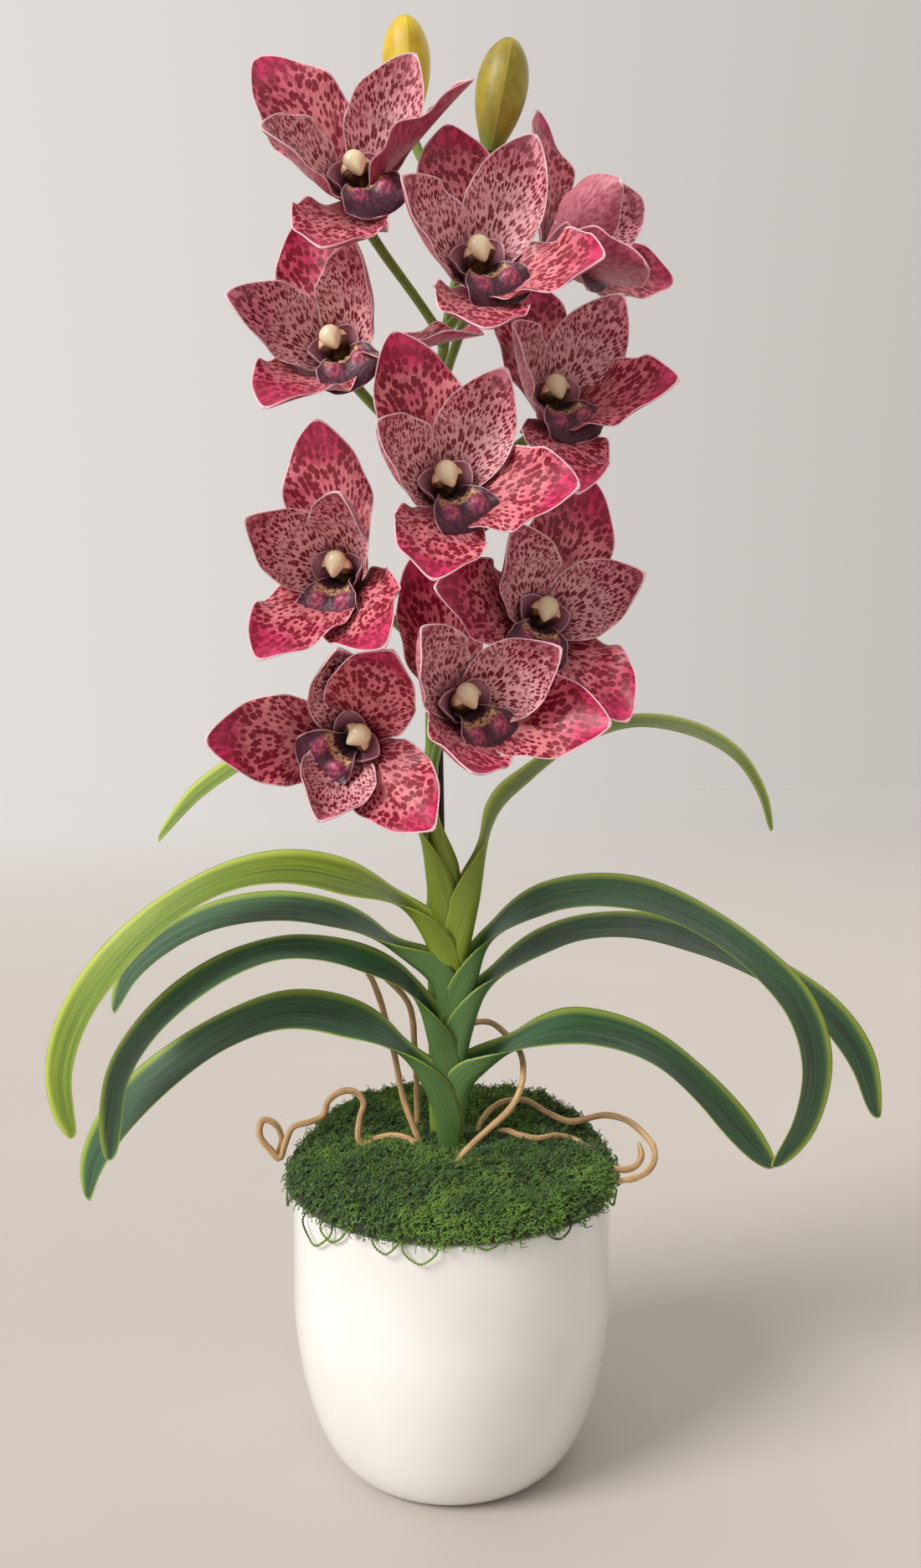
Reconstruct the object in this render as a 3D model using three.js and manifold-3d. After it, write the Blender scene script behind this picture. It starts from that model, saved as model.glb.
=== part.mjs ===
// Potted cymbidium orchid: ten spotted blooms and two buds on one stem, a fan of strap leaves,
// tan aerial roots, moss and a round-shouldered white pot. Millimetres, +Z up.
// The origin is the centre of the pot's foot, and the plant faces -Y.
import * as THREE from 'three';
import { mergeVertices } from 'three/addons/utils/BufferGeometryUtils.js';
import Module from 'manifold-3d';

const wasm = await Module();
wasm.setup();

// Driving dimensions
const GAP = 0.3;
const SLIVER = 0.28;
const POT = { radius: 85, height: 144, foot: 54, round: 85, wall: 4, floor: 6, sides: 24 };
const FILLER = { top: 130, clear: 0.4 };
const MOSS = { edge: 88, shoulder: 154, crown: 160, rise: 13, lump: 1.6, pocket: 11 };
const LEAF = { thick: 0.8, cone: 0.106, keel: 0.2, start: 3.7, channel: 2.6, arm: 15, taper: 0.8 };
const STALK = { radius: 3, foot: 60, top: 268 };
const STICK = { radius: 1.75, foot: [-1, 22.6, 40], top: [-9.5, 22.6, 540] };
const STEM = { foot: 3.8, tip: 2.7, sides: 7, steps: 16, rings: [288, 372] };
const PEDICEL = { root: 2.4, neck: 3.2, sides: 5, steps: 4, out: 10, up: 16 };
const HOLE = { deeper: 0.5, stem: 0.9, stick: 0.45, stalk: 0.4, top: 200 };
const ROOT = { radius: 1.65, sides: 5, sink: 0.35, fine: 0.55 };
const TEPAL = { thick: 1.2, rows: [0, 0.2, 0.45, 0.68, 0.88, 1], columns: 4 };
const TEPAL_FORM = { root: 0.34, widest: 0.52, blunt: 0.62, waves: 1.25 };
const SEPAL = { length: 72, width: 47, cup: 0.55, wave: 2.2, bend: 2, ring: 4.8, rise: -0.4 };
const PETAL = { length: 62, width: 44, cup: 0.95, wave: 1.4, bend: -10, ring: 3.6, rise: 0.8 };
const HUB = { front: 6.2, back: 3.4, depth: 6, face: 1, sides: 7 };
const LIP = { length: 34, thick: 1.2, start: 3.2, lift: 1.2, rise: 82, fall: 105, bow: 1.6 };
const COLUMN = { root: 2.5, waist: 3.5, cap: 5.5, bow: 0.5, steps: 5, sides: 6 };
const BUD = { widest: 0.6, base: 0.3, tip: 0.15, lobe: 0.05, steps: 8, sides: 9 };

const COLOURS = {
  pot: [0xf4f4f2, 0.12], filler: [0x6f7a5c, 0.9], moss: [0x3d6b22, 0.95], leaf: [0x2f6a3a, 0.42],
  youngLeaf: [0x8aa82e, 0.42], stem: [0x6f9a35, 0.5], stick: [0x161616, 0.5], root: [0xb98f5e, 0.6],
  tepal: [0xb5476a, 0.5], lip: [0x6b1f3c, 0.45], column: [0xe6d9a6, 0.4], bud: [0xb7b52a, 0.45],
};

const plant = new THREE.Group();

function material(kind) {
  const [color, roughness] = COLOURS[kind];
  return new THREE.MeshStandardMaterial({ color, roughness, metalness: 0 });
}

function piece(name, kind, geometry, parent = plant) {
  const mesh = new THREE.Mesh(geometry, material(kind));
  mesh.name = name;
  parent.add(mesh);
}

// Joining and cutting
function solidOf(geometry) {
  const bare = geometry.clone();
  bare.deleteAttribute('normal');
  bare.deleteAttribute('uv');
  const merged = mergeVertices(bare, 1e-4);
  return new wasm.Manifold(new wasm.Mesh({
    numProp: 3,
    vertProperties: Float32Array.from(merged.attributes.position.array),
    triVerts: Uint32Array.from(merged.index.array),
  }));
}

function geometryOf(solid) {
  const { vertProperties, triVerts } = solid.getMesh();
  const geometry = new THREE.BufferGeometry();
  geometry.setAttribute('position', new THREE.BufferAttribute(vertProperties, 3));
  geometry.setIndex(new THREE.BufferAttribute(triVerts, 1));
  return geometry;
}

const joined = (solids) => solids.reduce((whole, next) => whole.add(next));
const cut = (solid, tools) => tools.reduce((left, tool) => left.subtract(tool), solid);

function largestBody(solid) {
  const bodies = solid.decompose();
  return bodies.reduce((best, next) => (next.volume() > best.volume() ? next : best));
}

// A closed sheet: rows of middle-surface points, each given half the thickness on both sides.
// Both faces are split along the same diagonals, and the last row is one point, the tip.
function sheet(rows, thick) {
  const across = rows[0].length;
  const blunt = rows.at(-1).length > 1;
  const full = blunt ? rows.length : rows.length - 1;
  const flat = rows.flat();
  const positions = [-0.5, 0.5].flatMap((side) => flat.flatMap(({ point, normal }) => (
    point.clone().addScaledVector(normal, thick * side).toArray())));
  const under = flat.length;
  const index = [];
  const at = (row, column) => row * across + column;
  const quad = (a, b, c, d) => index.push(a, b, c, a, c, d);
  for (let row = 0; row + 1 < full; row += 1) {
    for (let column = 0; column + 1 < across; column += 1) {
      const [a, b] = [at(row, column), at(row, column + 1)];
      const [c, d] = [at(row + 1, column + 1), at(row + 1, column)];
      quad(a, b, c, d);
      index.push(under + a, under + c, under + b, under + a, under + d, under + c);
    }
    const [left, leftNext] = [at(row, 0), at(row + 1, 0)];
    const [right, rightNext] = [at(row, across - 1), at(row + 1, across - 1)];
    quad(left, leftNext, under + leftNext, under + left);
    quad(right, under + right, under + rightNext, rightNext);
  }
  const last = full - 1;
  for (let column = 0; column + 1 < across; column += 1) {
    const [first, firstNext] = [at(0, column), at(0, column + 1)];
    const [end, endNext] = [at(last, column), at(last, column + 1)];
    quad(first, under + first, under + firstNext, firstNext);
    if (blunt) quad(end, endNext, under + endNext, under + end);
    else index.push(end, endNext, under - 1, under + end, 2 * under - 1, under + endNext);
  }
  if (!blunt) {
    const [left, right, tip] = [at(last, 0), at(last, across - 1), under - 1];
    quad(left, tip, under + tip, under + left);
    quad(right, under + right, under + tip, tip);
  }
  return closedGeometry(positions, index);
}

function closedGeometry(positions, index) {
  const geometry = new THREE.BufferGeometry();
  geometry.setAttribute('position', new THREE.Float32BufferAttribute(positions, 3));
  geometry.setIndex(index);
  return geometry;
}

// A closed tube along a curve, with its radius given from 0 at the start to 1 at the end
function tube(curve, steps, sides, radiusAt, lobe = () => 1) {
  const frames = curve.computeFrenetFrames(steps, false);
  const positions = [];
  const index = [];
  for (let step = 0; step <= steps; step += 1) {
    const along = step / steps;
    const centre = curve.getPointAt(along);
    for (let side = 0; side < sides; side += 1) {
      const angle = (2 * Math.PI * side) / sides;
      const radius = radiusAt(along) * lobe(angle);
      const rim = centre.clone()
        .addScaledVector(frames.normals[step], radius * Math.cos(angle))
        .addScaledVector(frames.binormals[step], radius * Math.sin(angle));
      positions.push(...rim.toArray());
    }
  }
  const at = (step, side) => step * sides + (side % sides);
  for (let step = 0; step < steps; step += 1) {
    for (let side = 0; side < sides; side += 1) {
      const [a, b] = [at(step, side), at(step, side + 1)];
      const [c, d] = [at(step + 1, side + 1), at(step + 1, side)];
      index.push(a, b, c, a, c, d);
    }
  }
  for (let side = 1; side + 1 < sides; side += 1) {
    index.push(at(0, 0), at(0, side + 1), at(0, side));
    index.push(at(steps, 0), at(steps, side), at(steps, side + 1));
  }
  return closedGeometry(positions, index);
}

const curveThrough = (points) => new THREE.CatmullRomCurve3(points.map((p) => new THREE.Vector3(...p)));

function rod(foot, top, radius, sides) {
  const line = new THREE.LineCurve3(new THREE.Vector3(...foot), new THREE.Vector3(...top));
  return tube(line, 1, sides, () => radius);
}

// Pot: the side swells quickly from the foot, then runs up straight
function potRadius(z) {
  const rest = Math.max(0, 1 - z / POT.round);
  return POT.foot + (POT.radius - POT.foot) * (1 - rest ** 1.67) ** (1 / 1.89);
}

function latheUp(profile, sides) {
  const points = profile.map(([radius, z]) => new THREE.Vector2(radius, z));
  return new THREE.LatheGeometry(points, sides).rotateX(Math.PI / 2);
}

const POT_LEVELS = [0, 5, 14, 28, 50, 85];
const INNER_LEVELS = [14, 50, 85];

function potShell() {
  const outside = POT_LEVELS.map((z) => [potRadius(z), z]);
  const inside = INNER_LEVELS.map((z) => [potRadius(z) - POT.wall, z]);
  const rim = [[POT.radius, POT.height], [POT.radius - POT.wall, POT.height]];
  const floor = [[potRadius(POT.floor) - POT.wall, POT.floor], [0, POT.floor]];
  return latheUp([[0, 0], ...outside, ...rim, ...inside.reverse(), ...floor], POT.sides);
}

// Where things stand: the stem, the stick and the leaf stalk go down into holes
const STEM_ROUTE = [
  [-8, 18, 50], [-9, 18, 150], [-10.5, 18, 290], [-11.5, 15, 400], [-11, 12, 480], [-8, 10, 560],
  [0, 8, 615], [10, 6, 650], [20, 5, 689.6],
];
const stemCurve = curveThrough(STEM_ROUTE);
const stemRadius = (along) => STEM.foot + (STEM.tip - STEM.foot) * along;

function stemAt(height) {
  let [low, high] = [0, 1];
  while (high - low > 1e-4) {
    const middle = (low + high) / 2;
    if (stemCurve.getPointAt(middle).z < height) low = middle;
    else high = middle;
  }
  return stemCurve.getPointAt(low);
}

function plainHoles() {
  const stemFoot = STEM_ROUTE[0];
  const stickLean = (STICK.top[0] - STICK.foot[0]) / (STICK.top[2] - STICK.foot[2]);
  const stickAt = (z) => [STICK.foot[0] + stickLean * (z - STICK.foot[2]), STICK.foot[1], z];
  const stemTop = [STEM_ROUTE[1][0], STEM_ROUTE[1][1], HOLE.top];
  return [
    rod([stemFoot[0], stemFoot[1], stemFoot[2] - HOLE.deeper], stemTop, STEM.foot + HOLE.stem, 8),
    rod(stickAt(STICK.foot[2] - HOLE.deeper), stickAt(HOLE.top), STICK.radius + HOLE.stick, 8),
    rod([0, 0, STALK.foot - HOLE.deeper], [0, 0, HOLE.top], STALK.radius + HOLE.stalk, 8),
  ].map(solidOf);
}

function fillerPlug() {
  const levels = INNER_LEVELS.map((z) => [potRadius(z) - POT.wall - FILLER.clear, z]);
  const low = POT.floor + FILLER.clear;
  const inner = POT.radius - POT.wall - FILLER.clear;
  const foot = [potRadius(POT.floor) - POT.wall - FILLER.clear - 1, low];
  return latheUp([[0, low], foot, ...levels, [inner, FILLER.top], [0, FILLER.top]], POT.sides);
}

// Moss: a low mound that laps over the rim, higher at the back, with soft lumps
function mossTop(x, y) {
  const radius = Math.hypot(x, y);
  const dome = MOSS.crown - (MOSS.crown - MOSS.shoulder) * (radius / MOSS.edge) ** 4;
  const back = MOSS.rise * THREE.MathUtils.smoothstep(y, 12, 62);
  const lumps = Math.sin(x * 0.19 + 1) * Math.cos(y * 0.17) + 0.6 * Math.sin((x + y) * 0.31);
  return dome + back + MOSS.lump * lumps;
}

// The rings above the rim are drawn at one height first, and each of their points then takes the
// height of the mossy surface under it
const MOSS_RINGS = [74, 54, 30, 0];
const DRAWN = 200;

function mossMound() {
  const inner = POT.radius - POT.wall - FILLER.clear;
  const seat = POT.height + GAP;
  const bed = FILLER.top + GAP;
  const side = [
    [0, bed], [inner, bed], [inner, seat], [POT.radius + 0.6, seat],
    [MOSS.edge, seat + 2.5], [MOSS.edge - 2, seat + 6],
  ];
  const mound = latheUp([...side, ...MOSS_RINGS.map((radius) => [radius, DRAWN])], POT.sides);
  const place = mound.attributes.position;
  for (let i = 0; i < place.count; i += 1) {
    if (place.getZ(i) > DRAWN - 1) place.setZ(i, mossTop(place.getX(i), place.getY(i)));
  }
  return mound;
}

// Aerial roots: bent wire-like runs that start in the moss
const ROOTS = {
  root_left_arch: [
    [-12, -1, 153], [-20, 3, 162], [-31, 8, 164.5], [-41, 8, 163], [-50, 8, 160], [-51, 12, 172],
    [-49, 14, 181], [-54, 14, 187], [-62, 13, 187], [-68, 12, 182], [-71, 12, 174], [-79, 10, 171],
    [-87, 9, 169], [-91, 6, 161], [-94, 4, 153], [-99, 4, 158], [-105, 4, 167], [-103, 5, 174],
    [-97, 6, 172], [-93.5, 9, 163], [-96, 10, 154],
  ],
  root_left_tall: [
    [-14, 6, 153], [-20, 9, 166], [-27, 13, 184], [-32, 18, 206], [-41, 22, 238], [-49, 24, 254],
    [-57, 25, 263],
  ],
  root_left_back: [
    [-20, 28, 158], [-20, 27, 185], [-21, 26, 210], [-24, 26, 232], [-32, 27, 243], [-40, 28, 249],
  ],
  root_right_tall: [
    [-2, -19, 152], [7, -21, 166], [20, -20, 178], [32, -16, 189], [38, -8, 201], [37, 4, 211], [29, 17, 219],
    [20, 26, 223], [10, 30, 220], [3, 32, 205], [1, 33, 185], [0, 34, 162],
  ],
  root_right_loop: [
    [12, 18, 158], [17, 26, 168], [30, 38, 174], [42, 36, 175], [54, 30, 170], [66, 26, 166], [75, 25, 168],
    [86, 26, 170], [97, 24, 168], [106, 15, 163], [110, 2, 158], [106, -10, 153], [96, -17, 150],
    [84, -19, 149.5],
  ],
  root_right_low: [
    [22, 22, 160], [30, 14, 165], [38, 8, 164.5], [47, 7, 163], [57, 12, 163], [66, 13, 161], [75, 4, 158],
    [81, -8, 155], [86, -12, 153.5], [96, -10, 153], [102, -3, 156], [102, 6, 161],
  ],
};

const ROOT_STEPS = { root_left_arch: 28, root_right_tall: 18, root_right_loop: 24, root_right_low: 19 };

function rootSolid(name, grow = 0) {
  const taper = (along) => ROOT.radius * Math.min(1, ROOT.fine + 6 * Math.min(along, 1 - along)) + grow;
  return solidOf(tube(curveThrough(ROOTS[name]), ROOT_STEPS[name] ?? 10, ROOT.sides, taper));
}

// Leaves: each base is a narrow folded trough round the stalk that widens upwards, so that the
// next leaf fits inside it. Above it the blade opens, arches out and turns its face to the front.
const LEAVES = {
  leaf_left_5: { side: -1, base: 150, closed: 36, width: 14.5, roll: [31, 31, 55], skew: -0.5, arch: [
    [-26, 2, 211], [-53, 6, 227], [-88, 10, 232], [-122, 12, 221], [-156, 14, 199], [-182, 14, 174],
    [-198, 13, 150], [-205, 12, 130]] },
  leaf_right_4: { side: 1, base: 164, closed: 30, width: 14, roll: [27, 27, 40], skew: 0.5, arch: [
    [19, -0.8, 205], [37, -4, 219], [62, -7, 227], [86, -7, 224], [109, -5, 214], [132, -2, 195],
    [152, 0, 173], [164, 1, 158], [173, 1, 146]] },
  leaf_left_4: { side: -1, base: 177.5, closed: 37, width: 13.5, roll: [24, 16, 58], skew: 0.4, arch: [
    [-22, -4, 247], [-50, -8, 264], [-84, -11, 270], [-110, -13, 264], [-135, -14, 250], [-159, -15, 228],
    [-174, -15, 204], [-178, -15, 180], [-178, -15, 158]] },
  leaf_right_3: { side: 1, base: 190, closed: 34, width: 13.5, roll: [24, 20, 60], skew: 0.5, arch: [
    [19, 0.5, 247], [39, 4, 264], [66, 8, 276], [99, 12, 278], [132, 15, 270], [162, 16, 258],
    [190, 17, 243], [210, 17, 226], [225, 16, 203], [232, 15, 170]] },
  leaf_right_2: { side: 1, base: 205, closed: 40, width: 14.5, roll: [30, 25, 64], skew: -0.5, arch: [
    [20, -2, 273], [38, -7, 290], [64, -14, 300], [97, -18, 299], [129, -21, 286], [159, -23, 265],
    [179, -24, 242], [187, -25, 215], [183, -26, 184], [171, -26, 158]] },
  leaf_left_3: { side: -1, base: 216, closed: 34, width: 13.5, roll: [26, 24, 40], skew: -0.5, arch: [
    [-28, 2, 265.5], [-52, 4, 281], [-86, 6, 289], [-120, 7, 286], [-148, 7, 275], [-172, 6, 257],
    [-186, 6, 236]] },
  leaf_left_2: { side: -1, base: 229.5, closed: 38, width: 14.5, roll: [36, 26, 62], skew: 0.5, arch: [
    [-26, -4, 292], [-50, -10, 305], [-84, -17, 313], [-116, -22, 308], [-147, -26, 291], [-175, -28, 264],
    [-193, -29, 236], [-200, -29, 211], [-198, -28, 190], [-192, -27, 176]] },
  leaf_right_1: { side: 1, base: 242, closed: 52, width: 12, roll: [44, 10, 32], skew: 0.4, arch: [
    [24, -2, 344], [42, -4, 362], [62, -6, 377], [89, -7, 388], [106, -7, 389], [131, -6, 383],
    [151, -4, 371], [164, -2, 352], [170, 0, 331]] },
  leaf_left_1: { side: -1, base: 257, closed: 42, width: 12.5, roll: [40, 16, 30], skew: -0.4, arch: [
    [-20, 0, 338], [-45, 3, 361], [-78, 8, 373], [-107, 10, 370], [-135, 9, 353], [-160, 8, 328]] },
  leaf_back: { side: -1, base: 274, closed: 36, width: 8, roll: [30, 40, 60], skew: 0.3, arch: [
    [-12, 0.6, 331], [-12.5, 2, 347], [-11, 3, 362]] },
};

const YOUNG = ['leaf_left_1', 'leaf_left_2', 'leaf_right_1', 'leaf_back'];
const OPENING = { length: 40, spread: 66, rows: [0.18, 0.4, 0.67, 1], turnStart: 22, turnLength: 70 };
const ARCH_ROWS = [0.22, 0.44, 0.64, 0.82, 0.94, 1];
const SHOULDER = 0.62;

function leafOutline(along) {
  const past = Math.max(0, along - LEAF.taper) / (1 - LEAF.taper);
  return Math.sqrt(Math.max(0, 1 - past ** 2));
}

function leafBlade({ side, base, closed, width, roll, skew, arch }) {
  const conePoint = (rise) => [side * (LEAF.start + LEAF.keel * rise), 0, base + rise];
  const curve = curveThrough([conePoint(0), conePoint(closed / 2), conePoint(closed), ...arch]);
  const length = curve.getLength();
  const back = new THREE.Vector3(0, 1, 0);
  const opened = Math.min(closed + OPENING.spread, length * 0.8);
  const runs = [0, closed * 0.6, closed, ...OPENING.rows.map((step) => closed + step * (opened - closed))];
  runs.push(...ARCH_ROWS.map((step) => opened + step * (length - opened)));
  const rows = runs.map((run) => {
    const along = Math.min(1, run / length);
    const open = THREE.MathUtils.smoothstep(run, closed, closed + OPENING.length);
    const turned = THREE.MathUtils.smoothstep(run, closed + OPENING.turnStart, closed + OPENING.turnLength);
    const middle = curve.getPointAt(along);
    const tangent = curve.getTangentAt(along);
    const face = tangent.clone().cross(back).multiplyScalar(side).normalize();
    const breadth = face.clone().cross(tangent).multiplyScalar(side).normalize();
    const [low, arched, tip] = roll;
    const rolled = low + (arched - low) * Math.min(1, along * 2) + (tip - arched) * along ** 3;
    const turn = THREE.MathUtils.degToRad(rolled * turned);
    const upper = face.clone().multiplyScalar(Math.cos(turn)).addScaledVector(breadth, -Math.sin(turn));
    const wide = breadth.clone().multiplyScalar(Math.cos(turn)).addScaledVector(face, Math.sin(turn));
    const gape = LEAF.start + LEAF.cone * Math.min(run, opened);
    const arm = Math.min(2 * (LEAF.start + LEAF.keel * run) - 2, LEAF.arm);
    const flat = width * leafOutline(along);
    middle.addScaledVector(wide, skew * (width - flat));
    const lerp = (shut, spread) => shut + (spread - shut) * open;
    const margin = [lerp(gape, flat), lerp(arm, LEAF.channel)];
    const shoulder = [lerp(gape, flat * SHOULDER), lerp(0.15 * gape, LEAF.channel * 0.4)];
    const outline = [[-margin[0], margin[1]], [-shoulder[0], shoulder[1]], [0, 0], shoulder, margin];
    return along < 0.999 ? sectionRow(outline, middle, wide, upper) : [{ point: middle, normal: upper }];
  });
  return sheet(side > 0 ? rows : rows.map((row) => row.reverse()), LEAF.thick);
}

// Turns an outline of [across, up] pairs into points with normals that bisect its corners
function sectionRow(outline, middle, wide, upper) {
  const slope = outline.map((_, i) => {
    const [nextAcross, nextUp] = outline[Math.min(i + 1, outline.length - 1)];
    const [lastAcross, lastUp] = outline[Math.max(i - 1, 0)];
    return Math.atan2(nextUp - lastUp, nextAcross - lastAcross);
  });
  return outline.map(([across, up], i) => ({
    point: middle.clone().addScaledVector(wide, across).addScaledVector(upper, up),
    normal: wide.clone().multiplyScalar(-Math.sin(slope[i])).addScaledVector(upper, Math.cos(slope[i])),
  }));
}

// Blooms. Each faces [turn to the right, tilt up] in degrees. Each tepal is [clock angle from
// the top, lift towards the front], in degrees, seen from the front.
const BLOOMS = {
  bloom_01: { at: [-45, -39, 646], face: [3, 20], joint: 592, lip: 155,
    dorsal: [-42, 27], petalRight: [30, 42], petalLeft: [-104, 54],
    sepalRight: [72, 48], sepalLeft: [-167, 30] },
  bloom_02: { at: [12, -55, 600], face: [9, 18], joint: 556, lip: 160,
    dorsal: [-9, 10], petalRight: [26, 45], petalLeft: [-77, 51],
    sepalRight: [122, 46], sepalLeft: [-173, 37] },
  bloom_03: { at: [50, 3, 635], face: [57, 18], joint: 600, lip: 180,
    dorsal: [2, 14], petalRight: [60, 46], petalLeft: [-100, 62],
    sepalRight: [101, 33], sepalLeft: [-152, 48] },
  bloom_04: { at: [-54, -27, 569], face: [-10, 18], joint: 522, lip: 150,
    dorsal: [-17, 14], petalRight: [38, 62], petalLeft: [-80, 51],
    sepalRight: [94, 22], sepalLeft: [-161, 46] },
  bloom_05: { at: [49, -21, 546], face: [15, 21], joint: 502, lip: 165,
    dorsal: [-8, 9], petalRight: [36, 44], petalLeft: [-80, 60],
    sepalRight: [117, 54], sepalLeft: [-175, 33] },
  bloom_06: { at: [-3, -56, 497], face: [9, 15], joint: 452, lip: 158,
    dorsal: [-22, 29], petalRight: [29, 48], petalLeft: [-78, 54],
    sepalRight: [111, 46], sepalLeft: [-167, 39] },
  bloom_07: { at: [-52, -31, 461], face: [-16, 8], joint: 420, lip: 185,
    dorsal: [-7, 25], petalRight: [35, 62], petalLeft: [-63, 58],
    sepalRight: [139, 44], sepalLeft: [-158, 50] },
  bloom_08: { at: [42, -27, 438], face: [14, 13], joint: 396, lip: 200,
    dorsal: [21, 25], petalRight: [75, 50], petalLeft: [-37, 56],
    sepalRight: [154, 37], sepalLeft: [-88, 42] },
  bloom_09: { at: [3, -54, 394], face: [22, 14], joint: 358, lip: 155,
    dorsal: [-15, 12], petalRight: [63, 58], petalLeft: [-54, 49],
    sepalRight: [110, 45], sepalLeft: [-154, 52] },
  bloom_10: { at: [-51, -29, 380], face: [7, 3], joint: 340, lip: 235,
    dorsal: [-91, 31], petalRight: [-10, 50], petalLeft: [-157, 53],
    sepalRight: [24, 57], sepalLeft: [140, 45] },
};

function tepalBreadth(along) {
  const { root, widest, blunt } = TEPAL_FORM;
  if (along < widest) return root + (1 - root) * Math.sin((Math.PI / 2) * (along / widest));
  return (1 - ((along - widest) / (1 - widest)) ** 2) ** blunt;
}

// One tepal in its bloom's frame: +Z faces forward, +Y is up, +X is right
function tepal([clock, lift], form, grow) {
  const theta = THREE.MathUtils.degToRad(clock);
  const outward = new THREE.Vector3(Math.sin(theta), Math.cos(theta), 0);
  const sideways = new THREE.Vector3(Math.cos(theta), -Math.sin(theta), 0);
  const forward = new THREE.Vector3(0, 0, 1);
  const slopeAt = (along) => THREE.MathUtils.degToRad(lift + form.bend * (1 - 2 * along));
  const middle = outward.clone().multiplyScalar(form.ring).addScaledVector(forward, form.rise);
  const rows = [];
  let walked = 0;
  const walkTo = (along) => {
    const strides = 8;
    const stride = (along - walked) / strides;
    for (let i = 0; i < strides; i += 1) {
      const slope = slopeAt(walked + stride / 2);
      middle.addScaledVector(outward, Math.cos(slope) * stride * form.length);
      middle.addScaledVector(forward, Math.sin(slope) * stride * form.length);
      walked += stride;
    }
  };
  for (const along of TEPAL.rows) {
    if (along > 0) walkTo(along);
    const slope = slopeAt(along);
    const upper = forward.clone().multiplyScalar(Math.cos(slope)).addScaledVector(outward, -Math.sin(slope));
    const half = (form.width / 2) * tepalBreadth(along) + grow;
    const row = [];
    for (let column = 0; column <= TEPAL.columns; column += 1) {
      const across = (2 * column) / TEPAL.columns - 1;
      const curl = across * form.cup;
      const phase = 2 * Math.PI * along * TEPAL_FORM.waves + across * 1.3 + clock;
      const wave = form.wave * across * across * Math.sin(phase);
      const point = middle.clone()
        .addScaledVector(sideways, (half * Math.sin(curl)) / form.cup)
        .addScaledVector(upper, (half * (1 - Math.cos(curl))) / form.cup + wave * tepalBreadth(along));
      const normal = upper.clone().multiplyScalar(Math.cos(curl)).addScaledVector(sideways, -Math.sin(curl));
      row.push({ point, normal });
    }
    rows.push(along < 1 ? row.reverse() : [{ point: middle.clone(), normal: upper }]);
  }
  return solidOf(sheet(rows, TEPAL.thick + 2 * grow));
}

function hub(grow = 0) {
  const cone = new THREE.CylinderGeometry(HUB.front + grow, HUB.back, HUB.depth + grow, HUB.sides);
  return solidOf(cone.rotateX(Math.PI / 2).translate(0, 0, HUB.face + (grow - HUB.depth) / 2));
}

function bloomBody(bloom, grow = 0) {
  const sepals = [bloom.dorsal, bloom.sepalLeft, bloom.sepalRight];
  const petals = [bloom.petalLeft, bloom.petalRight];
  return joined([
    ...sepals.map((place) => tepal(place, SEPAL, grow)),
    ...petals.map((place) => tepal(place, PETAL, grow)),
    hub(grow),
  ]);
}

// Lip: a short trough with raised sides that ends in a turned-down apron. Each row is
// [along, half breadth, curl of the sides].
const LIP_ROWS = [[0, 2.6, 0.9], [0.25, 12, 1.5], [0.5, 14.5, 1.2], [0.78, 13.5, 0.7], [1, 8, 0.4]];

function lip(clock) {
  const theta = THREE.MathUtils.degToRad(clock);
  const outward = new THREE.Vector3(Math.sin(theta), Math.cos(theta), 0);
  const sideways = new THREE.Vector3(Math.cos(theta), -Math.sin(theta), 0);
  const forward = new THREE.Vector3(0, 0, 1);
  const middle = outward.clone().multiplyScalar(LIP.start).addScaledVector(forward, LIP.lift + GAP);
  const rows = LIP_ROWS.map(([along, half, roll], i) => {
    const slope = THREE.MathUtils.degToRad(LIP.rise - LIP.fall * along ** LIP.bow);
    if (i > 0) {
      const stride = (along - LIP_ROWS[i - 1][0]) * LIP.length;
      middle.addScaledVector(outward, Math.cos(slope) * stride);
      middle.addScaledVector(forward, Math.sin(slope) * stride);
    }
    const upper = forward.clone().multiplyScalar(Math.cos(slope)).addScaledVector(outward, -Math.sin(slope));
    return [1, 0.5, 0, -0.5, -1].map((across) => {
      const curl = across * roll;
      return {
        point: middle.clone()
          .addScaledVector(sideways, (half * Math.sin(curl)) / roll)
          .addScaledVector(upper, (half * (1 - Math.cos(curl))) / roll),
        normal: upper.clone().multiplyScalar(Math.cos(curl)).addScaledVector(sideways, -Math.sin(curl)),
      };
    });
  });
  return solidOf(sheet(rows, LIP.thick));
}

// Column: a short arched post over the lip with a swollen cap. Its route is [away from the lip,
// forward] from the bloom's centre.
const COLUMN_ROUTE = [[0, HUB.face + GAP], [1.6, 6], [3.6, 12], [3.4, 18], [1.6, 22]];

function column(clock, grow = 0) {
  const theta = THREE.MathUtils.degToRad(clock + 180);
  const route = COLUMN_ROUTE.map(([away, ahead]) => [Math.sin(theta) * away, Math.cos(theta) * away, ahead]);
  const swell = (along) => {
    if (along < COLUMN.bow) return COLUMN.root + (COLUMN.waist - COLUMN.root) * (along / COLUMN.bow);
    const past = (along - COLUMN.bow) / (1 - COLUMN.bow);
    const bulge = Math.sin(Math.PI * past ** 1.3);
    return COLUMN.waist * (1 - 0.5 * past ** 3) + (COLUMN.cap - COLUMN.waist) * bulge;
  };
  return solidOf(tube(curveThrough(route), COLUMN.steps, COLUMN.sides, (along) => swell(along) + grow));
}

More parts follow.
